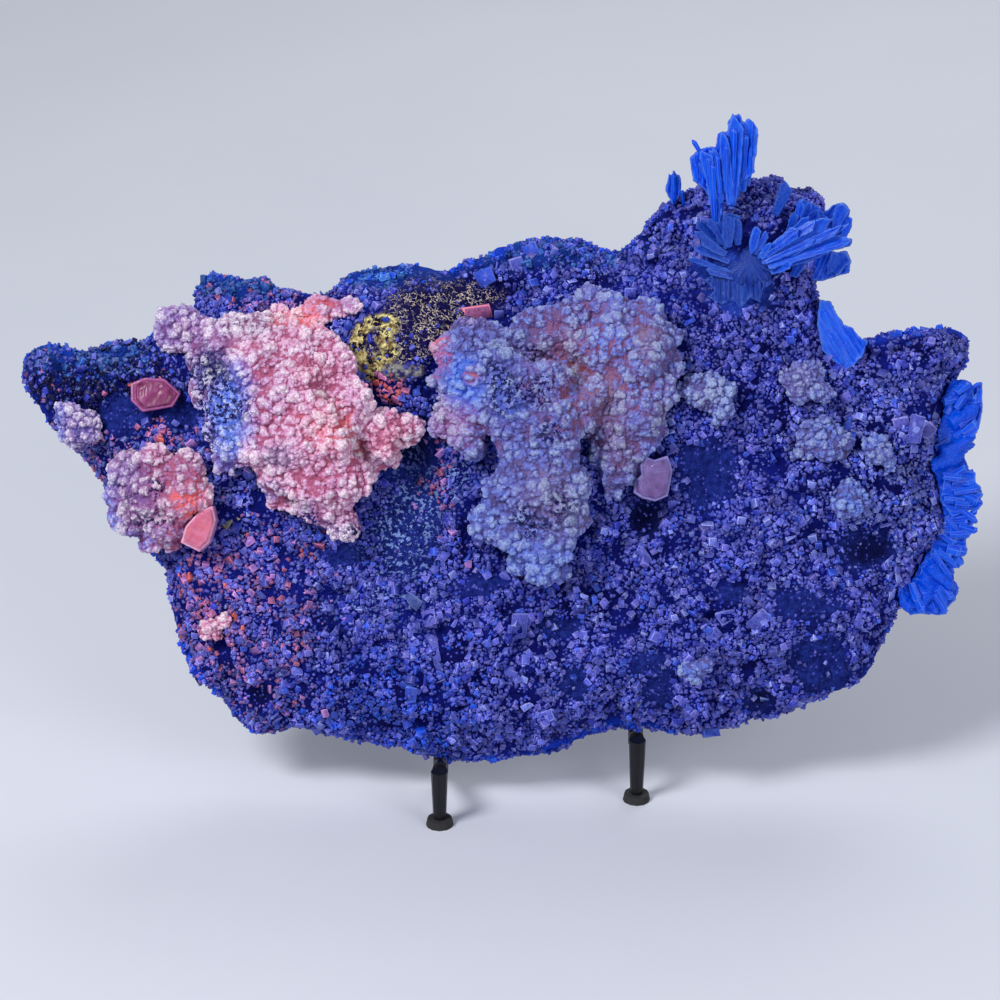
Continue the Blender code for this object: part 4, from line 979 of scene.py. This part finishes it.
def placePrisms(name, prisms, seed, dull=0.0, wide=1.0, thin=1.0):  # foot (u, v, w), tip (u, v, w), half width, flatness, kind
    random = np.random.default_rng(seed)
    made = []
    for foot, tip, half, flat, kind in prisms:
        foot, tip, half, flat = fromPlate(onSight(foot)), fromPlate(onSight(tip)), half * wide, flat * thin
        length = np.linalg.norm(tip - foot)
        piece = bpy.data.objects.new(name, prismKinds[kind].data.copy())
        bpy.context.scene.collection.objects.link(piece)
        points = readPoints(piece)
        point = (points[:, 2].max() - 1) * half * mm
        along = np.where(points[:, 2] > 0.5, length - point + (points[:, 2] - 1) * half * mm, points[:, 2] * half * mm)
        swell = half * mm * (0.72 + 0.28 * along / length)
        local = np.stack([points[:, 0] * swell, points[:, 1] * swell * flat, along], axis=1)
        upward = (tip - foot) / length
        facing = np.array(outOfFace) + random.normal(0, 0.14, 3)
        facing -= upward * (facing @ upward)
        facing /= np.linalg.norm(facing)
        across = np.cross(facing, upward)
        writePoints(piece, local @ np.stack([across, facing, upward]) + foot)
        storeVector(piece, "growth", local / mm + random.uniform(-40, 40, 3))
        storeValue(piece, "hub", np.full(len(points), dull))
        made.append(piece)
    return joinPieces(made)


quartz = {
    "curtain": [  # foot u, v, height over the face, tip u, v, height, half width, flatness, kind
        (93.2, 226, 5, 95.0, 262.3, 11, 3.0, 0.7, "blunt"), (96.6, 231, 3, 99.8, 260.6, 8, 3.2, 0.7, "chisel"),
        (98.7, 234, 2, 101.5, 257.0, 5, 2.0, 0.8, "blunt"), (92.4, 226, 6, 89.3, 255.4, 13, 2.4, 0.8, "blunt"),
        (88.5, 227, 5, 85.0, 249.3, 10, 2.7, 0.7, "chisel"), (86.0, 228, 5, 81.6, 248.4, 11, 2.4, 0.8, "blunt"),
        (84.0, 230, 3, 78.4, 246.9, 7, 2.5, 0.8, "blunt"), (81.3, 245, 7, 77.0, 252.2, 10, 1.0, 0.9, "pointed"),
        (86.0, 217, 4, 84.6, 243, 11, 1.3, 0.8, "pointed"), (92.9, 227, 7, 93.6, 257, 13.4, 1.2, 0.8, "pointed"),
        (97.0, 236, 6, 98.2, 254, 10.4, 1.3, 0.8, "chisel"), (90.6, 231, 8, 90.4, 250, 14.6, 1.0, 0.9, "pointed"),
        (88.0, 231, 8, 86.6, 246, 12.4, 1.0, 0.9, "pointed"), (84.9, 232, 7, 83.2, 245.5, 12.2, 1.0, 0.9, "pointed"),
        (82.4, 234, 5, 79.8, 243.5, 9.2, 1.0, 0.9, "pointed"), (99.6, 238, 4, 100.4, 251, 7.4, 1.0, 0.9, "pointed"),
        (94.6, 229, 6, 96.4, 255, 10, 1.2, 0.9, "pointed"), (87.2, 219, 3, 88.4, 238, 9, 1.2, 0.9, "pointed"),
    ],
    "spray": [
        (88.6, 210, 2, 88.0, 219.5, 8, 2.6, 0.7, "blunt"), (91.7, 209, 2, 91.4, 222.6, 9, 2.9, 0.7, "blunt"),
        (95.0, 210, 2, 94.8, 221, 8, 2.4, 0.7, "chisel"), (100.2, 206, 3, 103.3, 217, 9, 1.8, 0.6, "blunt"),
        (101.8, 206, 2, 107.2, 215.5, 8, 1.5, 0.6, "chisel"), (103, 204.5, 2, 108.4, 210.8, 7, 1.4, 0.6, "blunt"),
        (104.5, 204, 2, 111, 208.5, 6, 1.3, 0.6, "pointed"), (90, 207, 1, 77.4, 216, 8, 1.6, 0.6, "pointed"),
        (88.5, 211, 1, 79, 219.8, 7, 2.3, 0.5, "blunt"), (91, 209, 1, 83, 221, 9, 1.7, 0.6, "pointed"),
        (92, 199.5, 0, 75, 205, 3, 1.2, 0.5, "pointed"), (94, 197, -1, 82, 200.6, 2.4, 1.9, 0.4, "chisel"),
        (92, 203, -0.5, 77.5, 209.5, 3.2, 1.9, 0.4, "chisel"), (90.5, 206, 0, 80.5, 213, 4.6, 2.4, 0.35, "blunt"),
        (104, 205, 3, 133, 220.6, 8, 2.6, 0.45, "blunt"), (105, 203, 3, 140.4, 218, 8, 1.3, 0.6, "pointed"),
        (106, 203, 4, 137.5, 217, 9, 1.9, 0.45, "chisel"), (107, 202, 4, 140.6, 212.4, 8, 2.6, 0.45, "blunt"),
        (108, 201, 3, 137.5, 213.5, 9, 1.6, 0.5, "pointed"), (109, 202, 5, 126.5, 212.5, 13, 1.4, 0.5, "blunt"),
        (110, 200.5, 3, 134, 209, 9, 1.8, 0.5, "chisel"), (108, 199, 3, 117, 202.6, 10, 1.7, 0.6, "blunt"),
        (117, 197.2, 3, 122.8, 207.2, 12, 2.6, 0.5, "blunt"), (106, 206, 3, 120, 216.5, 9, 2.8, 0.45, "blunt"),
        (107, 207, 3, 127, 219.5, 9, 2.1, 0.5, "chisel"), (112, 210, 2, 124, 221.5, 8, 1.7, 0.5, "pointed"),
        (114, 211, 0, 118.4, 223.5, 7, 1.7, 0.6, "blunt"), (115.5, 212, 0, 121.2, 228.2, 8, 1.7, 0.6, "chisel"),
        (117, 213, 0, 125, 227, 8, 1.7, 0.6, "blunt"), (118.5, 213, 0, 128.2, 224.2, 7, 1.6, 0.6, "chisel"),
        (121, 214, 0, 130, 221.5, 6, 1.5, 0.6, "pointed"), (134, 216, -2, 137.6, 226.4, 3, 2.9, 0.7, "chisel"),
        (137.5, 213, -3, 139.6, 222, 1, 2.0, 0.7, "blunt"), (133, 199, -3, 138.4, 206.5, 2, 3.5, 0.6, "chisel"),
        (131, 198, -3, 135, 207.5, 3, 1.8, 0.7, "chisel"), (109.5, 220.5, -1, 115.6, 235.2, 8, 2.4, 0.45, "chisel"),
        (112, 222, -1, 114.2, 231, 8, 1.5, 0.6, "pointed"),
    ],
    "spur": [
        (68.8, 227.5, 2, 68.0, 237, 6.5, 1.1, 0.8, "pointed"), (70.2, 227.5, 2, 71.0, 237, 7, 1.1, 0.8, "chisel"),
        (69.4, 226.5, 3, 69.5, 238.8, 8, 1.2, 0.8, "pointed"), (73.4, 226, 1, 72.9, 232, 5, 0.9, 0.9, "chisel"),
    ],
    "spurSheet": [
        (69.6, 239.7), (70.6, 237.8), (71.6, 238.2), (72.5, 234.6), (72.2, 231), (70.8, 228), (69, 226.4),
        (67.4, 229.4), (66.4, 232), (67.1, 236), (67.3, 238.6), (68.6, 238),
    ],
    "hub": (98, 203, 13, 10, 4.6),
    "curtainSheet": [
        (76, 244.7), (78, 246.9), (81, 248.9), (86.4, 249.2), (86.9, 254.5), (89.2, 255.4), (91.2, 255.1),
        (91.3, 259.3), (93.7, 261.5), (95.5, 262.5), (96.8, 261.3), (96.8, 259), (98.2, 259.3), (99.6, 260.7),
        (101.5, 259.3), (103.1, 256.8), (102.9, 251.2), (102.4, 245.5), (101.5, 244.7), (101.8, 238.8),
        (96.5, 234.9), (94.6, 231), (93.3, 224.5), (91.7, 224.2), (90.8, 230), (89, 228), (88.2, 219), (87.2, 213),
        (85.8, 213), (85, 221), (83, 231.1), (77.4, 236), (76.3, 241.1),
    ],
    "spraySheets": [  # outline, depth from and to over the face, lean, way of the ridges
        ([(104, 202), (112, 209), (122, 218), (131, 221.5), (134, 219.5), (130, 214), (137, 217), (140.4, 218.2),
          (136, 213.6), (141, 212.4), (140, 209.4), (133, 208), (126, 205), (118, 200), (110, 199)],
         -3, 1.6, (-0.05, 0.02), (2, 1), 0.2),
        ([(113, 211), (116, 219), (118.4, 224.5), (121, 228.4), (124.5, 227.2), (128.4, 224.6), (130.4, 221),
          (127, 217), (120, 212)], -1, 3, (-0.05, 0.1), (0.6, 1), 0.1),
        ([(86.1, 212), (86.5, 219), (89, 222), (92.5, 222.8), (96, 221), (96.6, 214), (93, 210)],
         -1, 5.5, (0, 0.15), (0.1, 1), 0.75),
        ([(123, 196), (123, 205), (130, 208), (134.4, 207), (138.6, 207.4), (140.3, 203.8), (139.6, 199), (135.5, 197.8),
          (128, 195.6)], -9, -3, (-0.1, 0.1), (0.5, 1), 0.1),
        ([(122, 214), (124, 222), (131.3, 224), (133, 226), (137.4, 227), (140.4, 223.6), (138.6, 219.4), (133, 215)],
         -9, -3, (-0.1, 0.1), (0.7, 1), 0.1),
        ([(83, 189), (86, 192), (82, 196), (86, 199), (84, 203), (90, 208), (98, 209), (108, 205), (107, 199), (109, 195),
          (105, 192), (104, 187), (100, 189), (97, 185), (93, 188), (89, 186)],
         -4, -0.2, (0, 0.05), (0, 1), 1.0),
    ],
    "crustSheets": [
        ([(180, 152), (184.4, 154.7), (188.7, 155.1), (189.4, 150), (190, 147.6), (191.2, 155.1), (192.9, 155.1),
          (193.1, 145.2), (191.8, 137.8), (190.5, 134.7), (184.4, 133), (180, 133), (177, 142)],
         9, 12.5, (-0.1, 0), (0.3, 1)),
        ([(176, 133), (183.5, 130.4), (188.7, 131.3), (190.3, 130.2), (187.9, 127.8), (185.3, 126.5), (187, 122.6),
          (187.4, 120.4), (183, 118), (176, 120)], 10, 13.5, (-0.12, 0), (1, 0.1)),
        ([(178, 119), (187.9, 119.6), (190.3, 119.1), (190, 116.1), (191.8, 113.5), (192.6, 112.6), (190.9, 111.3),
          (193.3, 110.5), (191.8, 108.6), (193.3, 106.6), (191.3, 104.4), (187.9, 104), (181, 101), (176, 108)],
         11, 15, (-0.12, 0), (1, -0.1)),
        ([(180, 103), (188.7, 101.8), (190.9, 100.9), (191.2, 99.2), (188.7, 97.9), (191.3, 95.3), (188.7, 94.8),
          (186.1, 92.2), (187, 86.6), (183.5, 84.9), (185.7, 82.9), (183.5, 80.5), (180, 81.4), (172, 83), (173, 94)],
         10, 14, (-0.12, 0.04), (1, -0.3)),
        ([(169, 82), (181.8, 79.2), (180, 76.6), (178.7, 74.5), (180.9, 74.7), (183.5, 71.6), (181.8, 67.9),
          (178.7, 64.9), (178.7, 62.3), (175.7, 61.9), (169.6, 62.7), (163.6, 61.9), (164, 68), (166, 75)],
         8, 12.5, (-0.12, 0.05), (1, -0.6)),
    ],
    "ledge": [
        (128, 188), (132.3, 187.2), (134.6, 182.4), (137.5, 178), (141.2, 176.8), (143.6, 173.4), (146.9, 171.4),
        (145.5, 166.6), (141.9, 162.3), (138.6, 160), (134, 163), (129, 168), (127, 178),
    ],
    "crustTips": [
        (185, 155, 2.4), (188.5, 155.3, 1.8), (189.4, 150, 2), (192.4, 155.2, 1.1), (192.9, 147, 2.2), (191.8, 139, 2.4),
        (190.5, 135, 2), (184.4, 133, 2), (188.7, 131.4, 1.6), (190.3, 130.2, 1.3), (187.9, 127.8, 2), (185.3, 126, 2),
        (187.2, 121.5, 2.2), (187.9, 119.6, 2), (190.3, 119, 2), (190, 116, 2.2), (192.6, 112.8, 1.8), (193.2, 110.5, 1.6),
        (193.2, 106.6, 2.2), (191.3, 104.4, 1.8), (188.7, 101.8, 2), (190.9, 100.9, 1.6), (191.2, 99, 1.6), (188.7, 97.9, 2),
        (191.3, 95.3, 1.8), (188.7, 94.6, 2), (186, 92.2, 2.4), (187, 86.6, 2.6), (183.5, 85, 2.2), (185.7, 82.9, 1.4),
        (183, 80.5, 2), (181.8, 79, 1.8), (180, 76.6, 2), (180.9, 74.7, 1.6), (183.5, 71.6, 2.4), (181.8, 67.9, 2.2),
        (178.7, 65, 2.4), (178.7, 62.5, 1.4), (175, 62.3, 2), (169.6, 62.5, 2), (163.6, 62.3, 1.4),
    ],
}


def overFace(rows, at=None):  # heights over the face under each foot, or over the face at one place
    prisms = []
    for u, v, low, tipU, tipV, high, half, flat, kind in rows:
        face = faceHeight(*(at or (u, v)))
        prisms.append(((u, v, face + low), (tipU, tipV, face + high), half, flat, kind))
    return prisms


def roughCopy(nodeName, name, voxel, rough, seed):  # a copy with a broken surface
    piece = copyNode(nodeName, name)
    applyModifier(piece, "REMESH", mode="VOXEL", voxel_size=voxel)
    applyModifier(piece, "SMOOTH", factor=0.5, iterations=2)
    points, normals = readPoints(piece), readNormals(piece)
    uvw = toPlate(points)
    lift = rough * (cellField(uvw, 5, seed)[1] - 0.8 + 0.5 * roughNoise(uvw, 3, seed, 3)) - 0.2
    writePoints(piece, points + normals * lift[:, None] * mm)
    storeVector(piece, "growth", toPlate(points))
    return piece


def growSheet(name, outline, low, high, lean, ridgeWay, seed, dull=0.0, relief=1.0):  # a slab of parallel ridges
    outline = np.array(outline, float)
    bpy.ops.object.select_all(action="DESELECT")
    bpy.ops.mesh.primitive_circle_add(vertices=len(outline), fill_type="NGON")
    sheet = bpy.context.object
    sheet.name = name
    flat = np.column_stack([outline, np.zeros(len(outline))]) * mm
    sheet.data.vertices.foreach_set("co", flat.astype(np.float32).ravel())
    bpy.ops.object.mode_set(mode="EDIT")
    bpy.ops.mesh.select_all(action="SELECT")
    bpy.ops.mesh.extrude_region_move(TRANSFORM_OT_translate={"value": (0, 0, (high - low) * mm)})
    bpy.ops.mesh.select_all(action="SELECT")
    bpy.ops.mesh.normals_make_consistent(inside=False)
    bpy.ops.object.mode_set(mode="OBJECT")
    applyModifier(sheet, "REMESH", mode="VOXEL", voxel_size=0.0005)
    applyModifier(sheet, "SMOOTH", factor=0.5, iterations=2)
    points, normals = readPoints(sheet) / mm, readNormals(sheet)
    way = np.array(ridgeWay, float) / np.linalg.norm(ridgeWay)
    along, across = points[:, :2] @ way, points[:, :2] @ [way[1], -way[0]]
    ridged = np.stack([across + 0.4 * roughNoise(points, 12, seed, 2), along * 0.05, points[:, 2] * 0.2], axis=1)
    near, second, _ = cellField(ridged, 2.2, seed + 4)
    lift = (1.1 * np.clip((second - near) * 2, 0, 1) - 0.6 + 0.5 * roughNoise(points, 5, seed + 9, 3)) * relief
    away = lineDistance(points, outline)
    chipped = 0.7 * roughNoise(points * (1, 1, 0.6), 1.8, seed + 15, 3) * (1 - np.abs(normals[:, 2]))
    points[:, :2] += normals[:, :2] * chipped[:, None]
    points[:, 2] += low + lift * np.sign(normals[:, 2]) * np.clip(away / 1.2, 0, 1)
    points[:, 2] += (points[:, :2] - outline.mean(axis=0)) @ np.array(lean)
    writePoints(sheet, fromPlate(onSight(points)))
    storeVector(sheet, "growth", np.stack([across, points[:, 2], along], axis=1))
    # pale: painted highlight along the outline and along the ridge edges
    storeValue(sheet, "pale", (np.clip(1.25 - away / 0.55, 0, 1) + 0.45 * np.clip(1 - (second - near) * 6, 0, 1)) * (1 - 0.7 * dull))
    storeValue(sheet, "hub", np.full(len(points), dull))
    return sheet


def modelHub(name, u, v, reachU, reachV, rise):  # a low dome of fibres that fan out from its middle
    bpy.ops.object.select_all(action="DESELECT")
    bpy.ops.mesh.primitive_ico_sphere_add(subdivisions=6, radius=1)
    hub = bpy.context.object
    hub.name = name
    points = readPoints(hub)
    angle = np.arctan2(points[:, 1], points[:, 0])
    reach = np.hypot(points[:, 0], points[:, 1])
    spokes = np.stack([np.cos(angle) * 9, np.sin(angle) * 9, reach * 0.8], axis=1)
    ridge = roughNoise(spokes, 1.0, 61, 3) * reach
    swell = 1 + 0.16 * ridge
    uvw = np.stack([u + points[:, 0] * reachU * swell, v + points[:, 1] * reachV * swell,
                    faceHeight(u, v) - 3.5 + points[:, 2] * rise + ridge * 0.9], axis=1)
    writePoints(hub, fromPlate(uvw))
    storeVector(hub, "growth", np.stack([np.cos(angle) * 14, np.sin(angle) * 14, reach * reachU], axis=1))
    storeValue(hub, "hub", np.ones(len(points)))
    return hub


def growBlade(name, prism, seed, dull):  # a flat blade with ridges along it and a broken end
    foot, tip, half, flat, _ = prism
    random = np.random.default_rng(seed)
    foot, tip = np.array(foot, float), np.array(tip, float)
    way = (tip - foot)[:2]
    length = np.linalg.norm(way)
    way /= length
    side = np.array([-way[1], way[0]])
    end = bladeEnds[int(random.integers(len(bladeEnds)))]
    corners = [(0, 0.5), (0.35, 0.85), (0.82, 1.0), *end, (0.84, -0.95), (0.4, -0.85), (0, -0.5)]
    outline = [foot[:2] + way * (length * share + random.normal(0, 0.25)) + side * half * (across + random.normal(0, 0.09))
               for share, across in corners]
    lean = way * (tip[2] - foot[2]) / length + side * random.normal(0, 0.3)
    middle = (foot[2] + tip[2]) / 2
    return growSheet(name, outline, middle - half * flat, middle + half * flat, lean, way, seed, dull, 0.3)


bladeEnds = [
    [(0.97, 0.7), (0.91, 0.35), (1.0, 0.0), (0.93, -0.45)], [(1.0, 0.6), (0.93, -0.2)], [(0.92, 0.6), (1.0, 0.1), (0.9, -0.5)],
]
foot = (92, 216)  # the curtain's heights count from the face here
sprays = []
for index, (outline, low, high, lean, way, dull) in enumerate(quartz["spraySheets"]):
    face = faceHeight(*np.mean(outline, axis=0))
    sprays.append(growSheet(f"spraySheet{index}", outline, face + low, face + high, lean, way, 10 + index, dull))
columns = overFace(quartz["curtain"], foot)
quartzFlower = joinPieces([
    modelHub("quartzFlower", *quartz["hub"]),
    growSheet("curtainSheet", quartz["curtainSheet"], faceHeight(*foot) + 2, faceHeight(*foot) + 7.5, (0, 0.12), (0.06, 1), 3),
    *[growBlade(f"column{index}", column, 90 + index, 0.0) for index, column in enumerate(columns) if column[2] >= 2],
    placePrisms("needles", [column for column in columns if column[2] < 2], 5, wide=1.2, thin=0.5),
    *[growBlade(f"ray{index}", ray, 60 + index, 0.7 if ray[1][0] < 103 or ray[0][1] > 219 else 0.25)
      for index, ray in enumerate(overFace(quartz["spray"]))],
    *sprays,
])
face = faceHeight(69.5, 227)
quartzSpur = joinPieces([
    growSheet("quartzSpur", quartz["spurSheet"], face + 2, face + 6, (0, 0.25), (0.05, 1), 71),
    placePrisms("spurPrisms", overFace(quartz["spur"]), 9, thin=0.8),
])
random = np.random.default_rng(17)
tips = []
for row in range(2):
    for u, v, half in quartz["crustTips"]:
        way = np.array([u - 158, (v - 108) * 0.75, 0.0])
        way = way / np.linalg.norm(way) + [0, random.normal(0, 0.3), 0]
        way[2] = random.uniform(-0.35, 0.1)
        way /= np.linalg.norm(way)
        inset = 0.6 + row * random.uniform(2.0, 5.0)
        tip = np.array([u, v, 13.5 - row * 0.6 + random.uniform(-2.2, 2.2)]) - way * inset
        if row:
            tip[1] += random.uniform(-2, 2)
        tips.append((tip - way * random.uniform(7, 12), tip, half * random.uniform(0.75, 1.15), random.uniform(0.3, 0.6),
                     ("blunt", "chisel", "pointed")[int(random.integers(3))]))
quartzCrust = joinPieces([
    roughCopy("quartz_crust_right", "quartzCrust", 0.0011, 1.2, 33), placePrisms("crustPrisms", tips, 18),
    *[growSheet(f"crustSheet{index}", outline, low, high, lean, way, 30 + index)
      for index, (outline, low, high, lean, way) in enumerate(quartz["crustSheets"])],
])
quartzLedge = growSheet("quartzLedge", quartz["ledge"], 15, 24.5, (0.02, -0.02), (0.6, -1), 50)

quartzFinish, tree, shader, place = newFinish("blueQuartz", {
    "IOR": 1.545, "Transmission Weight": 0.22, "Roughness": 0.26, "Specular IOR Level": 0.16,
})
growth = addNode(tree, "Attribute", attribute_name="growth").outputs["Vector"]
stretched = addNode(tree, "VectorMath", {0: growth, 1: (1.0, 1.0, 0.07)}, operation="MULTIPLY").outputs[0]
lines = noiseOf(tree, stretched, 1.6, 3.0)
veil = noiseOf(tree, place, 190.0, 4.0)
color = mixColors(tree, remap(tree, lines, 0.35, 0.65), srgb(0, 58, 228), srgb(0, 104, 255))
color = mixColors(tree, remap(tree, veil, 0.52, 0.72, 0.0, 0.4), color, srgb(34, 108, 255))
color = mixColors(tree, doMath(tree, "MULTIPLY", readMask(tree, "hub"), 0.9), color,
                  mixColors(tree, remap(tree, lines, 0.35, 0.65), srgb(10, 40, 138), srgb(50, 84, 182)))
# painted highlight on bevel faces, sheet outlines and ridge edges
rims = doMath(tree, "ADD", readMask(tree, "edge"), readMask(tree, "pale"))
color = mixColors(tree, doMath(tree, "MULTIPLY", rims, 0.5, True), color, srgb(100, 156, 255))
plug(tree, shader.inputs["Base Color"], color)
bump = addNode(tree, "Bump", {"Strength": 0.6, "Distance": 0.0004, "Height": lines})
plug(tree, shader.inputs["Normal"], bump.outputs["Normal"])
for piece, node in ((quartzFlower, "quartz_flower"), (quartzSpur, "quartz_spur"),
                    (quartzCrust, "quartz_crust_right"), (quartzLedge, "quartz_ledge")):
    piece.data.materials.clear()
    piece.data.materials.append(quartzFinish)
    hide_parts(node)
    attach(piece, "root")
    print(piece.name, sum(len(polygon.vertices) - 2 for polygon in piece.data.polygons))

# single calcite crystals, with growth lines that follow their outline

crystals = {
    "calcite_crystal_left": {
        "name": "crystalLeft", "lean": (0.04, -0.12), "facet": 0.8,
        "pale": srgb(176, 100, 156), "core": srgb(126, 42, 94), "streak": srgb(96, 18, 66),
        "outline": [(-146.3, 154.2), (-141, 156.5), (-133, 156.1), (-126.4, 150.2), (-129.7, 144.9), (-141.6, 142.9),
                    (-146.3, 147.5)]},
    "calcite_crystal_low": {
        "name": "crystalLow", "lean": (-0.1, 0.05), "facet": 0.84,
        "pale": srgb(232, 168, 204), "core": srgb(214, 104, 134), "streak": srgb(232, 122, 140),
        "outline": [(-113, 105.7), (-111.8, 100), (-114.4, 91.2), (-118.4, 87.5), (-125.7, 91.2), (-123.7, 97.8),
                    (-117.7, 104.4)]},
    "calcite_crystal_middle": {
        "name": "crystalMiddle", "lean": (0.08, -0.03), "facet": 0.86,
        "pale": srgb(140, 134, 200), "core": srgb(116, 92, 152), "streak": srgb(96, 70, 128),
        "outline": [(56.8, 125.5), (60.6, 123.8), (66.1, 125.5), (68, 119.6), (66.1, 109.5), (61, 107.4), (56, 108.6),
                    (52.6, 110.8), (52.9, 115.4), (55.6, 117.9), (55.2, 122.1)]},
}


def growTablet(node, name, outline, lean, facet, pale, core, streak):  # a flat crystal that steps in to its top face
    cad = toPlate(readPoints(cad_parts[node]))
    low, high = cad[:, 2].min(), cad[:, 2].max()
    outline = np.array(outline, float)
    middle = outline.mean(axis=0)
    bpy.ops.object.select_all(action="DESELECT")
    bpy.ops.mesh.primitive_circle_add(vertices=len(outline), fill_type="NGON")
    tablet = bpy.context.object
    tablet.name = name
    tablet.data.vertices.foreach_set("co", np.column_stack([outline - middle, outline[:, 0] * 0]).astype(np.float32).ravel())
    bpy.ops.object.mode_set(mode="EDIT")
    bpy.ops.mesh.select_all(action="SELECT")
    bpy.ops.mesh.extrude_region_move(TRANSFORM_OT_translate={"value": (0, 0, high - low - 1.4)})
    bpy.ops.mesh.select_all(action="SELECT")
    bpy.ops.mesh.normals_make_consistent(inside=False)
    bpy.ops.object.mode_set(mode="OBJECT")
    raiseTop(tablet, [(0.9, 0.2, facet, facet), (0.25, 0, 0.97, 0.97), (0.25, -0.1, 0.94, 0.94)])
    pickOnly(tablet)
    bpy.ops.object.mode_set(mode="EDIT")
    bpy.ops.mesh.select_all(action="SELECT")
    bpy.ops.mesh.bevel(offset=0.22, segments=1, affect="EDGES")
    bpy.ops.mesh.quads_convert_to_tris()
    bpy.ops.mesh.subdivide(number_cuts=5)
    bpy.ops.object.mode_set(mode="OBJECT")
    points, normals = readPoints(tablet), readNormals(tablet)
    away = lineDistance(points, outline - middle)
    crooked = away + 0.25 * roughNoise(points, 3, 5)
    band = 0.5 + 0.5 * np.sin(crooked * 5.2)
    points += normals * (0.07 * (band - 0.5) + 0.12 * roughNoise(points, 1.6, 8, 3))[:, None]
    points[:, 2] += points[:, :2] @ np.array(lean)
    writePoints(tablet, fromPlate(points + [*middle, low]))
    # painted highlight: the rim of each tablet takes the pale colour
    rim = np.clip(1.5 - away / 0.9, 0, 1)[:, None]
    streaked = np.clip(roughNoise(points * [1, 0.35, 1], 2.4, 12, 2) * 3, 0, 1) * (0.5 + 0.5 * band)
    inner = np.array(core) + (np.array(streak) - np.array(core)) * streaked[:, None]
    inner = inner + (np.array(pale) - inner) * (0.35 * band * (1 - streaked))[:, None]
    storeColor(tablet, "tint", inner * (1 - rim) + np.array(pale) * rim)
    storeValue(tablet, "band", band * 0.4)
    return tablet


crystalFinish, tree, shader, place = newFinish("bandedCalcite", {
    "Roughness": 0.3, "Specular IOR Level": 0.4, "Subsurface Weight": 0.1, "Subsurface Scale": 0.002,
})
cloud = noiseOf(tree, place, 300.0, 4.0)
tint = readTint(tree)
color = mixColors(tree, remap(tree, cloud, 0.35, 0.65, 0.0, 0.5), tint, mixColors(tree, 1.0, tint, srgb(196, 170, 190), "MULTIPLY"))
plug(tree, shader.inputs["Base Color"], color)
bump = addNode(tree, "Bump", {"Strength": 0.4, "Distance": 0.0004, "Height": doMath(tree, "ADD", cloud, readMask(tree, "band"))})
plug(tree, shader.inputs["Normal"], bump.outputs["Normal"])
for node, crystal in crystals.items():
    piece = growTablet(node, **crystal)
    piece.data.materials.append(crystalFinish)
    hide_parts(node)
    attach(piece, "root")
    print(piece.name, sum(len(polygon.vertices) - 2 for polygon in piece.data.polygons))

# easel

steelFinish, tree, shader, place = newFinish("blackSteel", {"Metallic": 0.6})
worn = noiseOf(tree, place, 90.0, 4.0)
plug(tree, shader.inputs["Base Color"], mixColors(tree, worn, (0.008, 0.008, 0.011), (0.022, 0.022, 0.027)))
plug(tree, shader.inputs["Roughness"], remap(tree, worn, 0.3, 0.7, 0.3, 0.5))
rubberFinish, tree, shader, place = newFinish("footRubber", {})
specks = noiseOf(tree, place, 900.0, 3.0)
plug(tree, shader.inputs["Base Color"], mixColors(tree, specks, (0.012, 0.012, 0.013), (0.03, 0.03, 0.032)))
plug(tree, shader.inputs["Roughness"], remap(tree, specks, 0.3, 0.7, 0.7, 0.9))

fittings = {  # of the easel: from and to, in mm, and the radius
    "pegs": [((-24.63, -65.5, 20.4), (-24.63, -74.5, 20.9), 2.6), ((54.37, -45.5, 23.4), (54.37, -54.3, 23.9), 2.6)],
    "hinges": [((-29.6, 15.9, 119.4), (-19.6, 15.9, 119.4), 3.3), ((49.4, 15.4, 119.7), (59.4, 15.4, 119.7), 3.3)],
    "collars": [((-41.6, 66.75, 21.05), (-37.8, 66.75, 21.05), 3.7), ((67.6, 66.75, 21.05), (71.4, 66.75, 21.05), 3.7),
                ((-22.4, 3.2, 102), (-18.8, 3.2, 102), 3.7), ((48.6, 3.2, 102), (52.2, 3.2, 102), 3.7)],
}


def addFitting(start, end, radius):  # a short round bar with rounded rims
    start, end = Vector(start) * mm, Vector(end) * mm
    bpy.ops.object.select_all(action="DESELECT")
    bpy.ops.mesh.primitive_cylinder_add(
        vertices=32, radius=radius * mm, depth=(end - start).length, location=(start + end) / 2,
        rotation=(end - start).to_track_quat("Z", "Y").to_euler())
    fitting = bpy.context.object
    bpy.ops.object.transform_apply(location=True, rotation=True, scale=True)
    applyModifier(fitting, "BEVEL", width=0.6 * mm, segments=3, limit_method="ANGLE")
    bpy.ops.object.shade_smooth_by_angle(angle=0.7)
    return fitting


easelFittings = joinPieces([addFitting(*fitting) for fitting in itertools.chain(*fittings.values())])
easelFittings.name = "easelFittings"
easelFittings.data.materials.append(steelFinish)
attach(easelFittings, "root")

for name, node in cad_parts.items():
    if name.startswith("easel"):
        finish = rubberFinish if "foot" in name else steelFinish
        for slot in node.material_slots:
            slot.material = finish

for template in [*itertools.chain(*crystalKinds.values()), *prismKinds.values()]:
    dropPiece(template)
